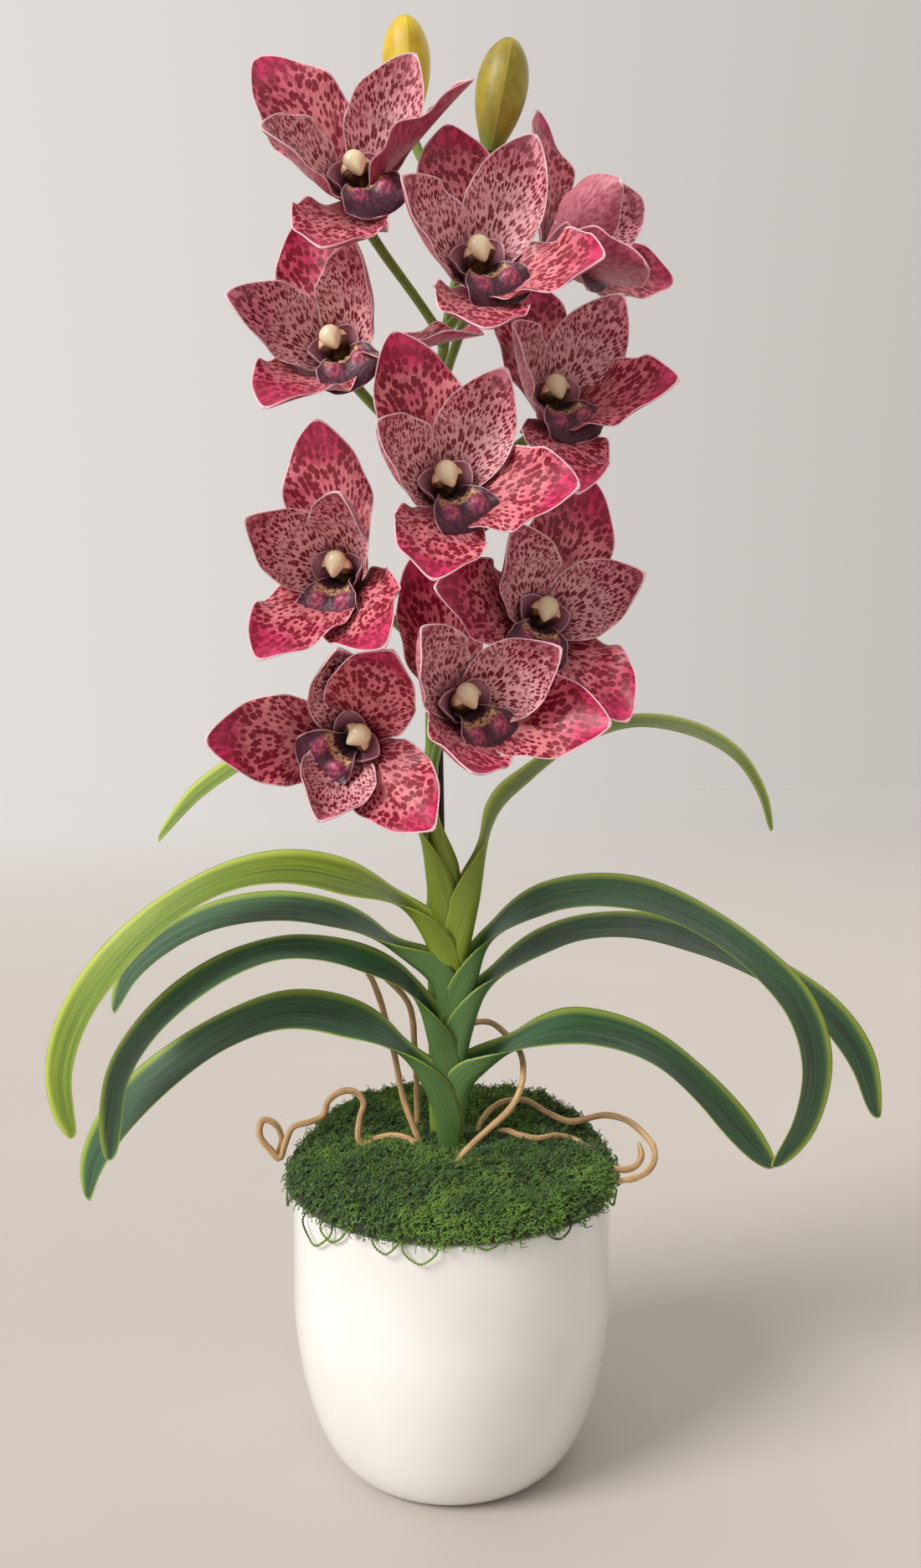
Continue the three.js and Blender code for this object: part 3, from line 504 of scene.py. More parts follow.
# %% Where each bloom sits and how its tepals are set
# A tepal's place is its clock angle and its lift, then a roll about its middle line where it has one.
BLOOMS = {
    1: {"at": (-45, -39, 646), "face": (3, 20), "joint": 592, "lip": 155,
        "dorsal": (-42, 27), "petal_right": (30, 42), "petal_left": (-104, 54),
        "sepal_right": (72, 48, 50), "sepal_left": (-167, 30)},
    2: {"at": (12, -55, 600), "face": (9, 18), "joint": 556, "lip": 160,
        "dorsal": (-9, 10), "petal_right": (26, 45), "petal_left": (-77, 51),
        "sepal_right": (122, 46), "sepal_left": (-173, 37)},
    3: {"at": (50, 3, 635), "face": (57, 18), "joint": 600, "lip": 180,
        "dorsal": (2, 14), "petal_right": (60, 46), "petal_left": (-100, 62),
        "sepal_right": (101, 33), "sepal_left": (-152, 48)},
    4: {"at": (-54, -27, 569), "face": (-10, 18), "joint": 522, "lip": 150,
        "dorsal": (-17, 14), "petal_right": (38, 62), "petal_left": (-80, 51),
        "sepal_right": (94, 22, 45), "sepal_left": (-161, 46)},
    5: {"at": (49, -21, 546), "face": (15, 21), "joint": 502, "lip": 165,
        "dorsal": (-8, 9), "petal_right": (36, 44), "petal_left": (-80, 60),
        "sepal_right": (117, 54), "sepal_left": (-175, 33)},
    6: {"at": (-3, -56, 497), "face": (9, 15), "joint": 452, "lip": 158,
        "dorsal": (-22, 29), "petal_right": (29, 48), "petal_left": (-78, 54),
        "sepal_right": (111, 46), "sepal_left": (-167, 39)},
    7: {"at": (-52, -31, 461), "face": (-16, 8), "joint": 420, "lip": 185,
        "dorsal": (-7, 25), "petal_right": (35, 62), "petal_left": (-63, 58),
        "sepal_right": (139, 44), "sepal_left": (-158, 50)},
    8: {"at": (42, -27, 438), "face": (14, 13), "joint": 396, "lip": 200,
        "dorsal": (21, 25), "petal_right": (75, 50), "petal_left": (-37, 56),
        "sepal_right": (154, 37), "sepal_left": (-88, 42)},
    9: {"at": (3, -54, 394), "face": (22, 14), "joint": 358, "lip": 155,
        "dorsal": (-15, 12), "petal_right": (63, 58), "petal_left": (-54, 49),
        "sepal_right": (110, 45), "sepal_left": (-154, 52)},
    10: {"at": (-51, -29, 380), "face": (7, 3), "joint": 340, "lip": 235,
         "dorsal": (-91, 31), "petal_right": (-10, 50), "petal_left": (-157, 53),
         "sepal_right": (24, 57), "sepal_left": (140, 45)},
}
SEPAL_PLACES = ("dorsal", "sepal_left", "sepal_right")
PETAL_PLACES = ("petal_left", "petal_right")
print("blooms:", len(BLOOMS), "and the top one is", BLOOMS[1]["at"][2], "mm up")


def facing_of(bloom):
    turn, tilt = np.radians(bloom["face"])
    return np.array([math.sin(turn) * math.cos(tilt), -math.cos(turn) * math.cos(tilt), math.sin(tilt)])


def into_place(points, bloom):
    """From the bloom's own axes, right, up and forward, to the plant's."""
    facing = facing_of(bloom)
    up = unit(np.array([0, 0, 1.0]) - facing * facing[2])
    right = np.cross(up, facing)
    return np.asarray(bloom["at"]) + points @ np.stack([right, up, facing])


# %% Make the ten blooms' tepals
HUB_PROFILE = [(3.4, -5.0), (4.96, -1.6), (6.2, 0.1), (5.0, 1.0)]
HUB_SIDES = 28
BLOOM_STEP = 5.3

for count, bloom in BLOOMS.items():
    tepals = Gathered("vein", "zone")
    for order, place in enumerate(SEPAL_PLACES + PETAL_PLACES):
        form = SEPAL if place in SEPAL_PLACES else PETAL
        points, faces, vein, zone = tepal(bloom[place], form, count * BLOOM_STEP + order)
        tepals.add(into_place(points, bloom), faces, int(form is PETAL), vein=vein, zone=zone)
    points, faces = closed_loft(turned_rings(HUB_PROFILE, HUB_SIDES))
    tepals.add(into_place(points, bloom), faces, 0, vein=(0, 0, count), zone=(5, 0, 0))
    piece = tepals.piece(f"flower_{count:02d}_tepals", [sepal_finish, petal_finish])
    stands_for(piece, "tepal", f"bloom_{count:02d}_tepals")

# %% [markdown]
# ## The lip
# The third petal of an orchid is its lip. Two dusty side lobes stand up round the column, and a dark
# apron runs forward from the throat, turns down and ends in a thin pale edge. Two crumpled pads and a
# yellow callus lie at the turn. The lobes are small tepals, so they come from the same rule, and the
# apron is a sheet of its own.

# %% Finish of the lip
def lip_finish():
    material, tree, surface = new_finish("lip_paint", Roughness=0.38, Sheen_Weight=0.1)
    fan, run, lobe = parts(tree, fact(tree, "vein"))
    margin, along, front = parts(tree, fact(tree, "zone"))
    mottle = cloud(tree, vector(tree, fan, run, lobe), 0.5, detail=4.0, rough=0.6)
    grain = cloud(tree, vector(tree, times(tree, fan, 1.6), times(tree, run, 0.4), lobe), 1.0, detail=3.0)

    # The apron is dark, with two lighter pads, a yellow callus between them and a painted shade in the
    # throat.
    off_middle = calc(tree, "ABSOLUTE", fan)
    inside = less(tree, rise(tree, off_middle, 8.5, 12.0))
    pads = times(tree, between(tree, along, (0.42, 0.52), (0.66, 0.8)), rise(tree, off_middle, 2.0, 4.5),
                 inside)
    pad_tone = blend(tree, rise(tree, mottle, 0.42, 0.62), paint(138, 32, 84), paint(200, 104, 122))
    callus = times(tree, between(tree, along, (0.38, 0.45), (0.5, 0.58)), inside,
                   rise(tree, mottle, 0.35, 0.6))
    # The brown throat is painted shade under the column.
    throat = less(tree, rise(tree, along, 0.16, 0.42))
    apron_tone = blend(tree, rise(tree, mottle, 0.4, 0.65), paint(54, 12, 32), paint(94, 28, 58))
    apron_tone = blend(tree, times(tree, pads, 0.9), apron_tone, pad_tone)
    apron_tone = blend(tree, callus, apron_tone, paint(228, 186, 136))
    apron_tone = blend(tree, throat, apron_tone, paint(64, 26, 20))

    # The ears are dusty, the back of both is paler, and so is the cut edge.
    ear = blend(tree, rise(tree, along, 0.2, 0.9), paint(96, 38, 52), paint(184, 124, 142))
    ear = blend(tree, times(tree, rise(tree, grain, 0.4, 0.7), 0.3), ear, paint(120, 50, 78))
    tone = blend(tree, rise(tree, lobe, 0.4, 0.6), apron_tone, ear)
    tone = blend(tree, times(tree, less(tree, front), 0.6), tone, paint(128, 60, 84))
    edge = less(tree, rise(tree, margin, 0.2, 0.6))
    tone = blend(tree, times(tree, edge, 0.8), tone, paint(224, 176, 188))
    dress(tree, surface, tone, mottle, 0.5)
    return material


lip_paint = lip_finish()
print("finish:", lip_paint.name)

# %% Side lobes and apron
# Each row of the apron is a share of its length, half its breadth there and how much it curls across.
EAR = {"length": 18.5, "width": 21, "cup": 1.15, "wave": 0.7, "bend": 8, "ring": 3.0, "rise": 1.2,
       "root": 0.62, "widest": 0.58, "blunt": 0.5, "point": 0.0, "ruffle": 0.6}
EAR_TURN, EAR_LIFT = 116, 50
APRON = {"length": 36, "start": (3.2, 1.6), "rise": 80, "fall": 125, "bow": 1.5, "thick": 1.0,
         "rows": 44, "columns": 31, "crowd": 0.9, "ruffle": 1.6, "ruffles": 3.4}
APRON_ROWS = [(0, 3.0, 1.1), (0.15, 7.5, 1.35), (0.32, 9.0, 1.3), (0.46, 12.0, 0.85), (0.6, 15.5, 0.5),
              (0.76, 16.5, 0.25), (0.9, 13.5, 0.1), (0.97, 8.5, 0.1), (1.0, 0.0, 0.1)]
PADS = {"off": 0.42, "wide": 0.24, "at": 0.6, "long": 0.09, "high": 2.6}
KEELS = {"off": 0.16, "wide": 0.07, "from": 0.16, "to": 0.5, "ends": 0.1, "high": 1.2}


def apron_relief(a, b, clock):
    """The ruffled margin, the two pads and the two keels of the throat, over the plain sheet."""
    ruffle = APRON["ruffle"] * np.sin(2 * np.pi * a * APRON["ruffles"] + 2.2 * b + clock)
    ruffle = ruffle * b ** 4 * eased(a, 0.4, 0.7)
    pads = PADS["high"] * np.exp(-((np.abs(b) - PADS["off"]) / PADS["wide"]) ** 2
                                 - ((a - PADS["at"]) / PADS["long"]) ** 2)
    keels = KEELS["high"] * np.exp(-((np.abs(b) - KEELS["off"]) / KEELS["wide"]) ** 2)
    keels = keels * eased(a, KEELS["from"], KEELS["from"] + KEELS["ends"])
    keels = keels * (1 - eased(a, KEELS["to"] - KEELS["ends"], KEELS["to"]))
    return ruffle + pads + keels


def apron(clock):
    outward, sideways = clock_axes(clock)
    along, across = toward_end(APRON["rows"]), toward_margins(APRON["columns"], APRON["crowd"])

    def slope_at(share):
        return np.radians(APRON["rise"] - APRON["fall"] * share ** APRON["bow"])

    middle, _, upper = sheet_axes(slope_at, APRON["length"], APRON["start"], along, outward)
    shares, halves, curls = route_through(APRON_ROWS).T
    half = np.maximum(np.interp(along, shares, halves), 0)[:, None]
    curl = np.interp(along, shares, curls)[:, None]
    a, b = along[:, None], across[None, :]
    side = half * np.sin(curl * b) / curl
    height = half * (1 - np.cos(curl * b)) / curl + apron_relief(a, b, clock)
    grid = middle[:, None] + side[..., None] * sideways + height[..., None] * upper[:, None]
    grid[-1] = grid[-1].mean(0)
    points, faces = thick_sheet(grid, across, APRON["thick"], upper)
    margin = np.minimum(half * (1 - np.abs(b)), (1 - a) * APRON["length"])
    return points, faces, *sheet_facts(half * b, a * APRON["length"], 0, margin, a)


print("an apron has", len(apron(0)[1]), "faces")

# %% Make the ten lips
for count, bloom in BLOOMS.items():
    lip = Gathered("vein", "zone")
    points, faces, vein, zone = apron(bloom["lip"])
    lip.add(into_place(points, bloom), faces, vein=vein, zone=zone)
    for hand in (-1, 1):
        place = (bloom["lip"] + hand * EAR_TURN, EAR_LIFT)
        points, faces, vein, zone = tepal(place, EAR, 1)
        vein[:, 2] = 1.0
        lip.add(into_place(points, bloom), faces, vein=vein, zone=zone)
    stands_for(lip.piece(f"flower_{count:02d}_lip", [lip_paint]), "lip", f"bloom_{count:02d}_lip")

# %% [markdown]
# ## The column
# The column is the fused post over the lip. Its back is cream, its hollow underside is olive brown,
# partly its own tone and partly painted shade, and a smooth cap with a small beak closes its end. A loft
# of ovals along its arched middle line gives all three, and one painted fact says how far a point is on
# the underside.

# %% Measures and finish of the column
# A row of the girth is a share of the length, half the breadth and half the height there.
COLUMN_ROUTE = [(0, 1.3), (1.6, 6), (3.0, 11), (2.8, 16), (1.4, 19.5)]
COLUMN_GIRTH = [(0, 3.4, 3.2), (0.3, 4.8, 4.4), (0.6, 6.8, 5.6), (0.85, 7.8, 5.8), (0.97, 6.4, 4.4),
                (1, 3.4, 2.2)]
HOLLOW = {"deep": 3.4, "wide": 4.5, "along": (0.2, 0.7), "edge": (-0.3, 0.4)}
CAP = {"at": (4.6, 19.4), "radii": (5.6, 5.6, 4.8), "beak": 2.6, "beak_width": 0.45, "pole": 0.12,
       "rows": 18}
COLUMN_SIDES, COLUMN_ROWS = 32, 26


def column_finish():
    material, tree, surface = new_finish("column_paint", Roughness=0.3, Coat_Weight=0.2)
    under, cap, along = parts(tree, fact(tree, "zone"))
    mottle = cloud(tree, node(tree, "ShaderNodeTexCoord").outputs["Object"], 320.0, detail=3.0)
    back = blend(tree, rise(tree, along, 0.2, 0.9), paint(186, 120, 104), paint(226, 196, 150))
    # The underside's brown is partly its own tone and partly painted shade under the column.
    hollow = blend(tree, rise(tree, mottle, 0.35, 0.7), paint(62, 34, 22), paint(120, 88, 52))
    tone = blend(tree, rise(tree, under, 0.35, 0.65), back, hollow)
    cream = blend(tree, rise(tree, mottle, 0.3, 0.7), paint(232, 218, 178), paint(240, 226, 188))
    dress(tree, surface, blend(tree, rise(tree, cap, 0.4, 0.6), tone, cream), mottle, 0.15)
    return material

# %% Form of the column
def column_rings(clock):
    away, sideways = clock_axes(clock + 180)
    route = route_through([(a, f, 0) for a, f in COLUMN_ROUTE])
    share = toward_end(COLUMN_ROWS)
    place, heading = walk(route, share * distances(route)[-1])
    shares, widths, heights = route_through(COLUMN_GIRTH).T
    angle = np.linspace(0, 2 * np.pi, COLUMN_SIDES, endpoint=False)
    below = eased(-np.sin(angle), *HOLLOW["edge"])
    rings = []
    for i, at in enumerate(share):
        across = np.interp(at, shares, widths) * np.cos(angle)
        lift = np.interp(at, shares, heights) * np.sin(angle)
        hollow = HOLLOW["deep"] * eased(at, *HOLLOW["along"]) * np.exp(-(across / HOLLOW["wide"]) ** 2)
        lift = lift + below * hollow
        normal = away * heading[i, 1] - FORWARD * heading[i, 0]
        centre = away * place[i, 0] + FORWARD * place[i, 1]
        rings.append(centre + across[:, None] * sideways + lift[:, None] * normal)
    return np.stack(rings), np.tile(below, len(rings))


def cap_rings(clock):
    away, sideways = clock_axes(clock + 180)
    angle = np.linspace(0, 2 * np.pi, COLUMN_SIDES, endpoint=False)
    wide, tall, deep = CAP["radii"]
    towards_beak = np.exp(-((angle - 1.5 * np.pi) / CAP["beak_width"]) ** 2)
    rings = []
    for polar in np.linspace(CAP["pole"], np.pi - CAP["pole"], CAP["rows"]):
        across = wide * np.cos(angle) * math.sin(polar)
        beak = CAP["beak"] * towards_beak * math.sin(polar) ** 2
        lift = tall * np.sin(angle) * math.sin(polar) - beak
        centre = away * CAP["at"][0] + FORWARD * (CAP["at"][1] - deep * math.cos(polar))
        rings.append(centre + across[:, None] * sideways + lift[:, None] * away)
    return np.stack(rings)


print("rings of a column:", len(column_rings(0)[0]), "and of its cap:", len(cap_rings(0)))

# %% Make the ten columns
column_paint = column_finish()
for count, bloom in BLOOMS.items():
    column = Gathered("zone")
    rings, under = column_rings(bloom["lip"])
    points, faces = closed_loft(rings)
    under = np.append(under, [0.0, 1.0])
    along = np.append(np.repeat(np.linspace(0, 1, len(rings)), rings.shape[1]), [0, 1])
    zone = np.stack([under, np.zeros(len(points)), along], axis=1)
    column.add(into_place(points, bloom), faces, zone=zone)
    points, faces = closed_loft(cap_rings(bloom["lip"]))
    column.add(into_place(points, bloom), faces, zone=(0, 1, 1))
    stands_for(column.piece(f"flower_{count:02d}_column", [column_paint]), "column",
               f"bloom_{count:02d}_column")

# %% [markdown]
# ## Strap leaves
# Each leaf starts as a narrow folded trough round the stalk, so that the next one fits inside it. Above
# it the blade opens, arches out and turns its face to the front. The finish is dark green with fine
# lengthwise veins and a pale margin, and the young leaves are yellow-green.

# %% Finish of the leaves
def leaf_finish(name, dark, light, margin_tone, back_tone):
    material, tree, surface = new_finish(name, Roughness=0.44)
    sideways, run, number = parts(tree, fact(tree, "vein"))
    margin, _, front = parts(tree, fact(tree, "zone"))
    veins_place = vector(tree, times(tree, sideways, 1.25), times(tree, run, 0.012), number)
    veins = cloud(tree, veins_place, 1.0, detail=4.0, rough=0.6)
    patches = cloud(tree, vector(tree, times(tree, sideways, 0.2), times(tree, run, 0.02), number), 1.0)

    # Fine veins, lighter patches, painted light on one half and shade on the other, a dark rib, a dull back.
    tone = blend(tree, rise(tree, veins, 0.38, 0.66), dark, light)
    tone = blend(tree, times(tree, rise(tree, patches, 0.4, 0.7), 0.5), tone, light)
    # Painted light and shade: the half on one side of the rib is lighter, as if lit.
    tone = blend(tree, times(tree, rise(tree, sideways, -2.0, 13.0), 0.45), tone, light)
    rib = less(tree, rise(tree, calc(tree, "ABSOLUTE", sideways), 0.3, 1.6))
    tone = blend(tree, times(tree, rib, 0.4), tone, dark)
    tone = blend(tree, times(tree, less(tree, front), 0.7), tone, back_tone)

    # The pale margin is a thin line on one side and a broad band on the other.
    thin = less(tree, rise(tree, margin, 0.3, 1.5))
    broad = times(tree, less(tree, rise(tree, margin, 0.5, 5.5)), rise(tree, sideways, -1.0, 6.0))
    tone = blend(tree, times(tree, calc(tree, "MAXIMUM", thin, broad), 0.85), tone, margin_tone)
    dress(tree, surface, tone, veins, 0.5)
    return material


leaf_paint = leaf_finish("leaf_paint", dark=paint(24, 50, 32), light=paint(58, 104, 60),
                         margin_tone=paint(160, 182, 62), back_tone=paint(88, 122, 60))
young_leaf_paint = leaf_finish("young_leaf_paint", dark=paint(70, 100, 22), light=paint(126, 148, 30),
                               margin_tone=paint(190, 204, 84), back_tone=paint(128, 148, 40))

# %% Where the ten leaves run
# The base is the height where a leaf leaves the stalk, and it stays folded for the closed length. Three
# rolls turn its face: low down, on the arch and at the tip. The arch is the middle line beyond the fold.
LEAVES = {
    "left_5": {
        "side": -1, "base": 150, "closed": 36, "width": 14.5, "roll": (31, 31, 55), "skew": -0.5,
        "arch": [(-26, 2, 211), (-53, 6, 227), (-88, 10, 232), (-122, 12, 221), (-156, 14, 199),
                 (-182, 14, 174), (-198, 13, 150), (-205, 12, 130)]},
    "right_4": {
        "side": 1, "base": 164, "closed": 30, "width": 14, "roll": (27, 27, 40), "skew": 0.5,
        "arch": [(19, -0.8, 205), (37, -4, 219), (62, -7, 227), (86, -7, 224), (109, -5, 214),
                 (132, -2, 195), (152, 0, 173), (164, 1, 158), (173, 1, 146)]},
    "left_4": {
        "side": -1, "base": 177.5, "closed": 37, "width": 13.5, "roll": (24, 16, 58), "skew": 0.4,
        "arch": [(-22, -4, 247), (-50, -8, 264), (-84, -11, 270), (-110, -13, 264), (-135, -14, 250),
                 (-159, -15, 228), (-174, -15, 204), (-178, -15, 180), (-178, -15, 158)]},
    "right_3": {
        "side": 1, "base": 190, "closed": 34, "width": 13.5, "roll": (24, 20, 60), "skew": 0.5,
        "arch": [(19, 0.5, 247), (39, 4, 264), (66, 8, 276), (99, 12, 278), (132, 15, 270),
                 (162, 16, 258), (190, 17, 243), (210, 17, 226), (225, 16, 203), (232, 15, 170)]},
    "right_2": {
        "side": 1, "base": 205, "closed": 40, "width": 14.5, "roll": (30, 25, 64), "skew": -0.5,
        "arch": [(20, -2, 273), (38, -7, 290), (64, -14, 300), (97, -18, 299), (129, -21, 286),
                 (159, -23, 265), (179, -24, 242), (187, -25, 215), (183, -26, 184), (171, -26, 158)]},
    "left_3": {
        "side": -1, "base": 216, "closed": 34, "width": 13.5, "roll": (26, 24, 40), "skew": -0.5,
        "arch": [(-28, 2, 265.5), (-52, 4, 281), (-86, 6, 289), (-120, 7, 286), (-148, 7, 275),
                 (-172, 6, 257), (-186, 6, 236)]},
    "left_2": {
        "side": -1, "base": 229.5, "closed": 38, "width": 14.5, "roll": (36, 26, 62), "skew": 0.5,
        "arch": [(-26, -4, 292), (-50, -10, 305), (-84, -17, 313), (-116, -22, 308), (-147, -26, 291),
                 (-175, -28, 264), (-193, -29, 236), (-200, -29, 211), (-198, -28, 190),
                 (-192, -27, 176)]},
    "right_1": {
        "side": 1, "base": 242, "closed": 52, "width": 12, "roll": (44, 10, 32), "skew": 0.4,
        "arch": [(24, -2, 344), (42, -4, 362), (62, -6, 377), (89, -7, 388), (106, -7, 389),
                 (131, -6, 383), (151, -4, 371), (164, -2, 352), (170, 0, 331)]},
    "left_1": {
        "side": -1, "base": 257, "closed": 42, "width": 12.5, "roll": (40, 16, 30), "skew": -0.4,
        "arch": [(-20, 0, 338), (-45, 3, 361), (-78, 8, 373), (-107, 10, 370), (-135, 9, 353),
                 (-160, 8, 328)]},
    "back": {
        "side": -1, "base": 274, "closed": 36, "width": 8, "roll": (30, 40, 60), "skew": 0.3,
        "arch": [(-12, 0.6, 331), (-12.5, 2, 347), (-11, 3, 362)]},
}
YOUNG = ("left_1", "left_2", "right_1", "back")
print("leaves:", len(LEAVES), "and young ones:", len(YOUNG))

# %% Outline, stations and axes of a leaf
LEAF = {"thick": 0.9, "start": 3.7, "cone": 0.106, "keel": 0.2, "channel": 2.6, "arm": 15,
        "shoulder": 0.62, "folded_shoulder": (0.15, 0.4), "taper": 0.8, "even": 0.85, "rows": 104,
        "columns": 19}
OPENING = {"length": 40, "spread": 66, "latest": 0.8, "turn_start": 22, "turn_end": 70}
RIPPLE = {"wave": 0.7, "pitch": 0.055, "pleat": 0.12, "pleats": 6}


def leaf_outline(along):
    """The share of its full breadth that a leaf has at a share of its length."""
    past = np.clip((along - LEAF["taper"]) / (1 - LEAF["taper"]), 0, 1)
    return np.sqrt(1 - past ** 2)


def leaf_stations(length):
    """Distances along a leaf, even at first and then crowded towards the tip."""
    share = np.linspace(0, 1, LEAF["rows"])
    even, rest = LEAF["even"], 1 - LEAF["even"]
    return length * np.where(share < even, share, even + rest * np.sin((share - even) / rest * np.pi / 2))


def leaf_axes(spec, route, runs):
    """The middle of the leaf, the way its inner face looks, and the way its breadth lies."""
    place, tangent = walk(route, runs)
    face = unit(np.cross(tangent, (0, 1, 0)) * spec["side"])
    breadth = unit(np.cross(face, tangent) * spec["side"])
    low, arched, tip = spec["roll"]
    along = runs / runs[-1]
    rolled = low + (arched - low) * np.minimum(1, along * 2) + (tip - arched) * along ** 3
    closed = spec["closed"]
    turned = eased(runs, closed + OPENING["turn_start"], closed + OPENING["turn_end"])
    turn = np.radians(rolled * turned)[:, None]
    return (place, face * np.cos(turn) - breadth * np.sin(turn),
            breadth * np.cos(turn) + face * np.sin(turn))


print("breadth of a leaf near its tip:", leaf_outline(np.array([0.9, 0.97])).round(2))

# %% One leaf
def section(margin, shoulder, columns):
    """Five corners, margin to margin, as one smooth line of [across, up] pairs."""
    corners = [(-margin[0], margin[1]), (-shoulder[0], shoulder[1]), (0, 0), shoulder, margin]
    line = route_through(corners, per_span=8)
    return walk(line, np.linspace(0, distances(line)[-1], columns))[0]


def leaf(spec, number):
    side, base, closed, width = (spec[key] for key in ("side", "base", "closed", "width"))
    fold = [(side * (LEAF["start"] + LEAF["keel"] * up), 0, base + up) for up in (0, closed / 2, closed)]
    route = route_through([*fold, *spec["arch"]])
    length = distances(route)[-1]
    runs = leaf_stations(length)
    along = runs / length
    flat = width * leaf_outline(along)
    place, upper, wide = leaf_axes(spec, route, runs)
    place = place + wide * (spec["skew"] * (width - flat))[:, None]

    # Every row lies between a folded trough and the open blade.
    open_share = eased(runs, closed, closed + OPENING["length"])

    def mix(folded, spread):
        return folded + (spread - folded) * open_share

    opened = min(closed + OPENING["spread"], length * OPENING["latest"])
    gape = LEAF["start"] + LEAF["cone"] * np.minimum(runs, opened)
    arm = np.minimum(2 * (LEAF["start"] + LEAF["keel"] * runs) - 2, LEAF["arm"])
    channel = LEAF["channel"] * flat / width
    margins = np.stack([mix(gape, flat), mix(arm, channel)], axis=1)
    low, high = LEAF["folded_shoulder"]
    shoulders = np.stack([mix(gape, flat * LEAF["shoulder"]), mix(low * gape, high * channel)], axis=1)
    lines = [section(tuple(margin), tuple(shoulder), LEAF["columns"])
             for margin, shoulder in zip(margins[:-1], shoulders[:-1])]
    lines = np.stack([*lines, np.zeros((LEAF["columns"], 2))])
    grid = place[:, None] + lines[..., :1] * wide[:, None] + lines[..., 1:] * upper[:, None]

    across = np.linspace(-1, 1, LEAF["columns"])
    wave = np.sin(runs[:, None] * RIPPLE["pitch"] + number + 1.2 * np.sign(across)) * across ** 4
    pleats = np.cos(across * RIPPLE["pleats"] * np.pi) * (1 - across ** 4)
    relief = RIPPLE["wave"] * wave + RIPPLE["pleat"] * pleats
    relief = relief * open_share[:, None] * leaf_outline(along)[:, None]
    grid = grid + relief[..., None] * upper[:, None]
    points, faces = thick_sheet(grid, across, LEAF["thick"], upper)
    half = np.maximum(mix(gape + arm, flat), 0)[:, None]
    margin = np.minimum(half * (1 - np.abs(across)), (length - runs)[:, None])
    return points, faces, *sheet_facts(half * across, runs[:, None], number, margin, along[:, None])


print("a leaf has", len(leaf(LEAVES["back"], 0)[1]), "faces")

# %% Make the ten leaves
for number, (place, spec) in enumerate(LEAVES.items()):
    blade = Gathered("vein", "zone")
    points, faces, vein, zone = leaf(spec, number)
    blade.add(points, faces, vein=vein, zone=zone)
    young = place in YOUNG
    piece = blade.piece(f"strap_leaf_{place}", [young_leaf_paint if young else leaf_paint])
    stands_for(piece, "young_leaf" if young else "leaf", f"leaf_{place}")

# %% [markdown]
# ## Runs that follow a path
# Stem, bloom stalks, stick, roots and loose moss threads are all a round section carried along a
# path. One Geometry Nodes tree makes them: a line of points with a girth at each becomes a curve, gets
# small knobs and a slight wander, and a circle is swept along it. The tree also writes where each
# point of the skin is round and along the run, which the paint needs for its grain.

# %% Trees with named inputs, and how they are run
def new_tree(name, inputs):
    tree = bpy.data.node_groups.new(name, "GeometryNodeTree")
    tree.interface.new_socket("Geometry", in_out="INPUT", socket_type="NodeSocketGeometry")
    for label, (kind, value) in inputs.items():
        socket = tree.interface.new_socket(label, in_out="INPUT", socket_type="NodeSocket" + kind)
        if value is not None:
            socket.default_value = value
    tree.interface.new_socket("Geometry", in_out="OUTPUT", socket_type="NodeSocketGeometry")
    return tree, node(tree, "NodeGroupInput").outputs


def grow(piece, tree, sizes):
    """Runs the tree on the piece, with inputs set by identifier, and keeps the plain mesh."""
    modifier = piece.modifiers.new(tree.name, "NODES")
    modifier.node_group = tree
    for item in tree.interface.items_tree:
        if item.item_type == "SOCKET" and item.in_out == "INPUT" and item.name in sizes:
            modifier[item.identifier] = sizes[item.name]
    grown = bpy.data.meshes.new_from_object(piece.evaluated_get(bpy.context.evaluated_depsgraph_get()))
    piece.modifiers.remove(modifier)
    piece.data = grown
    return piece


def store(tree, geometry, name, value, kind="FLOAT", domain="POINT"):
    sockets = {"Geometry": geometry, "Name": name, "Value": value}
    return node(tree, "GeometryNodeStoreNamedAttribute", sockets, data_type=kind, domain=domain).outputs[0]


def recall(tree, name):
    return node(tree, "GeometryNodeInputNamedAttribute", {"Name": name}, data_type="FLOAT").outputs[0]


def position(tree):
    return node(tree, "GeometryNodeInputPosition").outputs[0]


def give_back(tree, curve, ring, radius, finish):
    """Sweeps the ring along the curve and gives back one smooth, plain and painted skin."""
    swept = {"Curve": curve, "Profile Curve": ring, "Scale": radius, "Fill Caps": True}
    skin = node(tree, "GeometryNodeCurveToMesh", swept).outputs[0]
    skin = node(tree, "GeometryNodeSetShadeSmooth", {"Geometry": skin}).outputs[0]
    skin = node(tree, "GeometryNodeRealizeInstances", {0: skin}).outputs[0]
    skin = node(tree, "GeometryNodeSetMaterial", {"Geometry": skin, "Material": finish}).outputs[0]
    node(tree, "NodeGroupOutput", {"Geometry": skin})

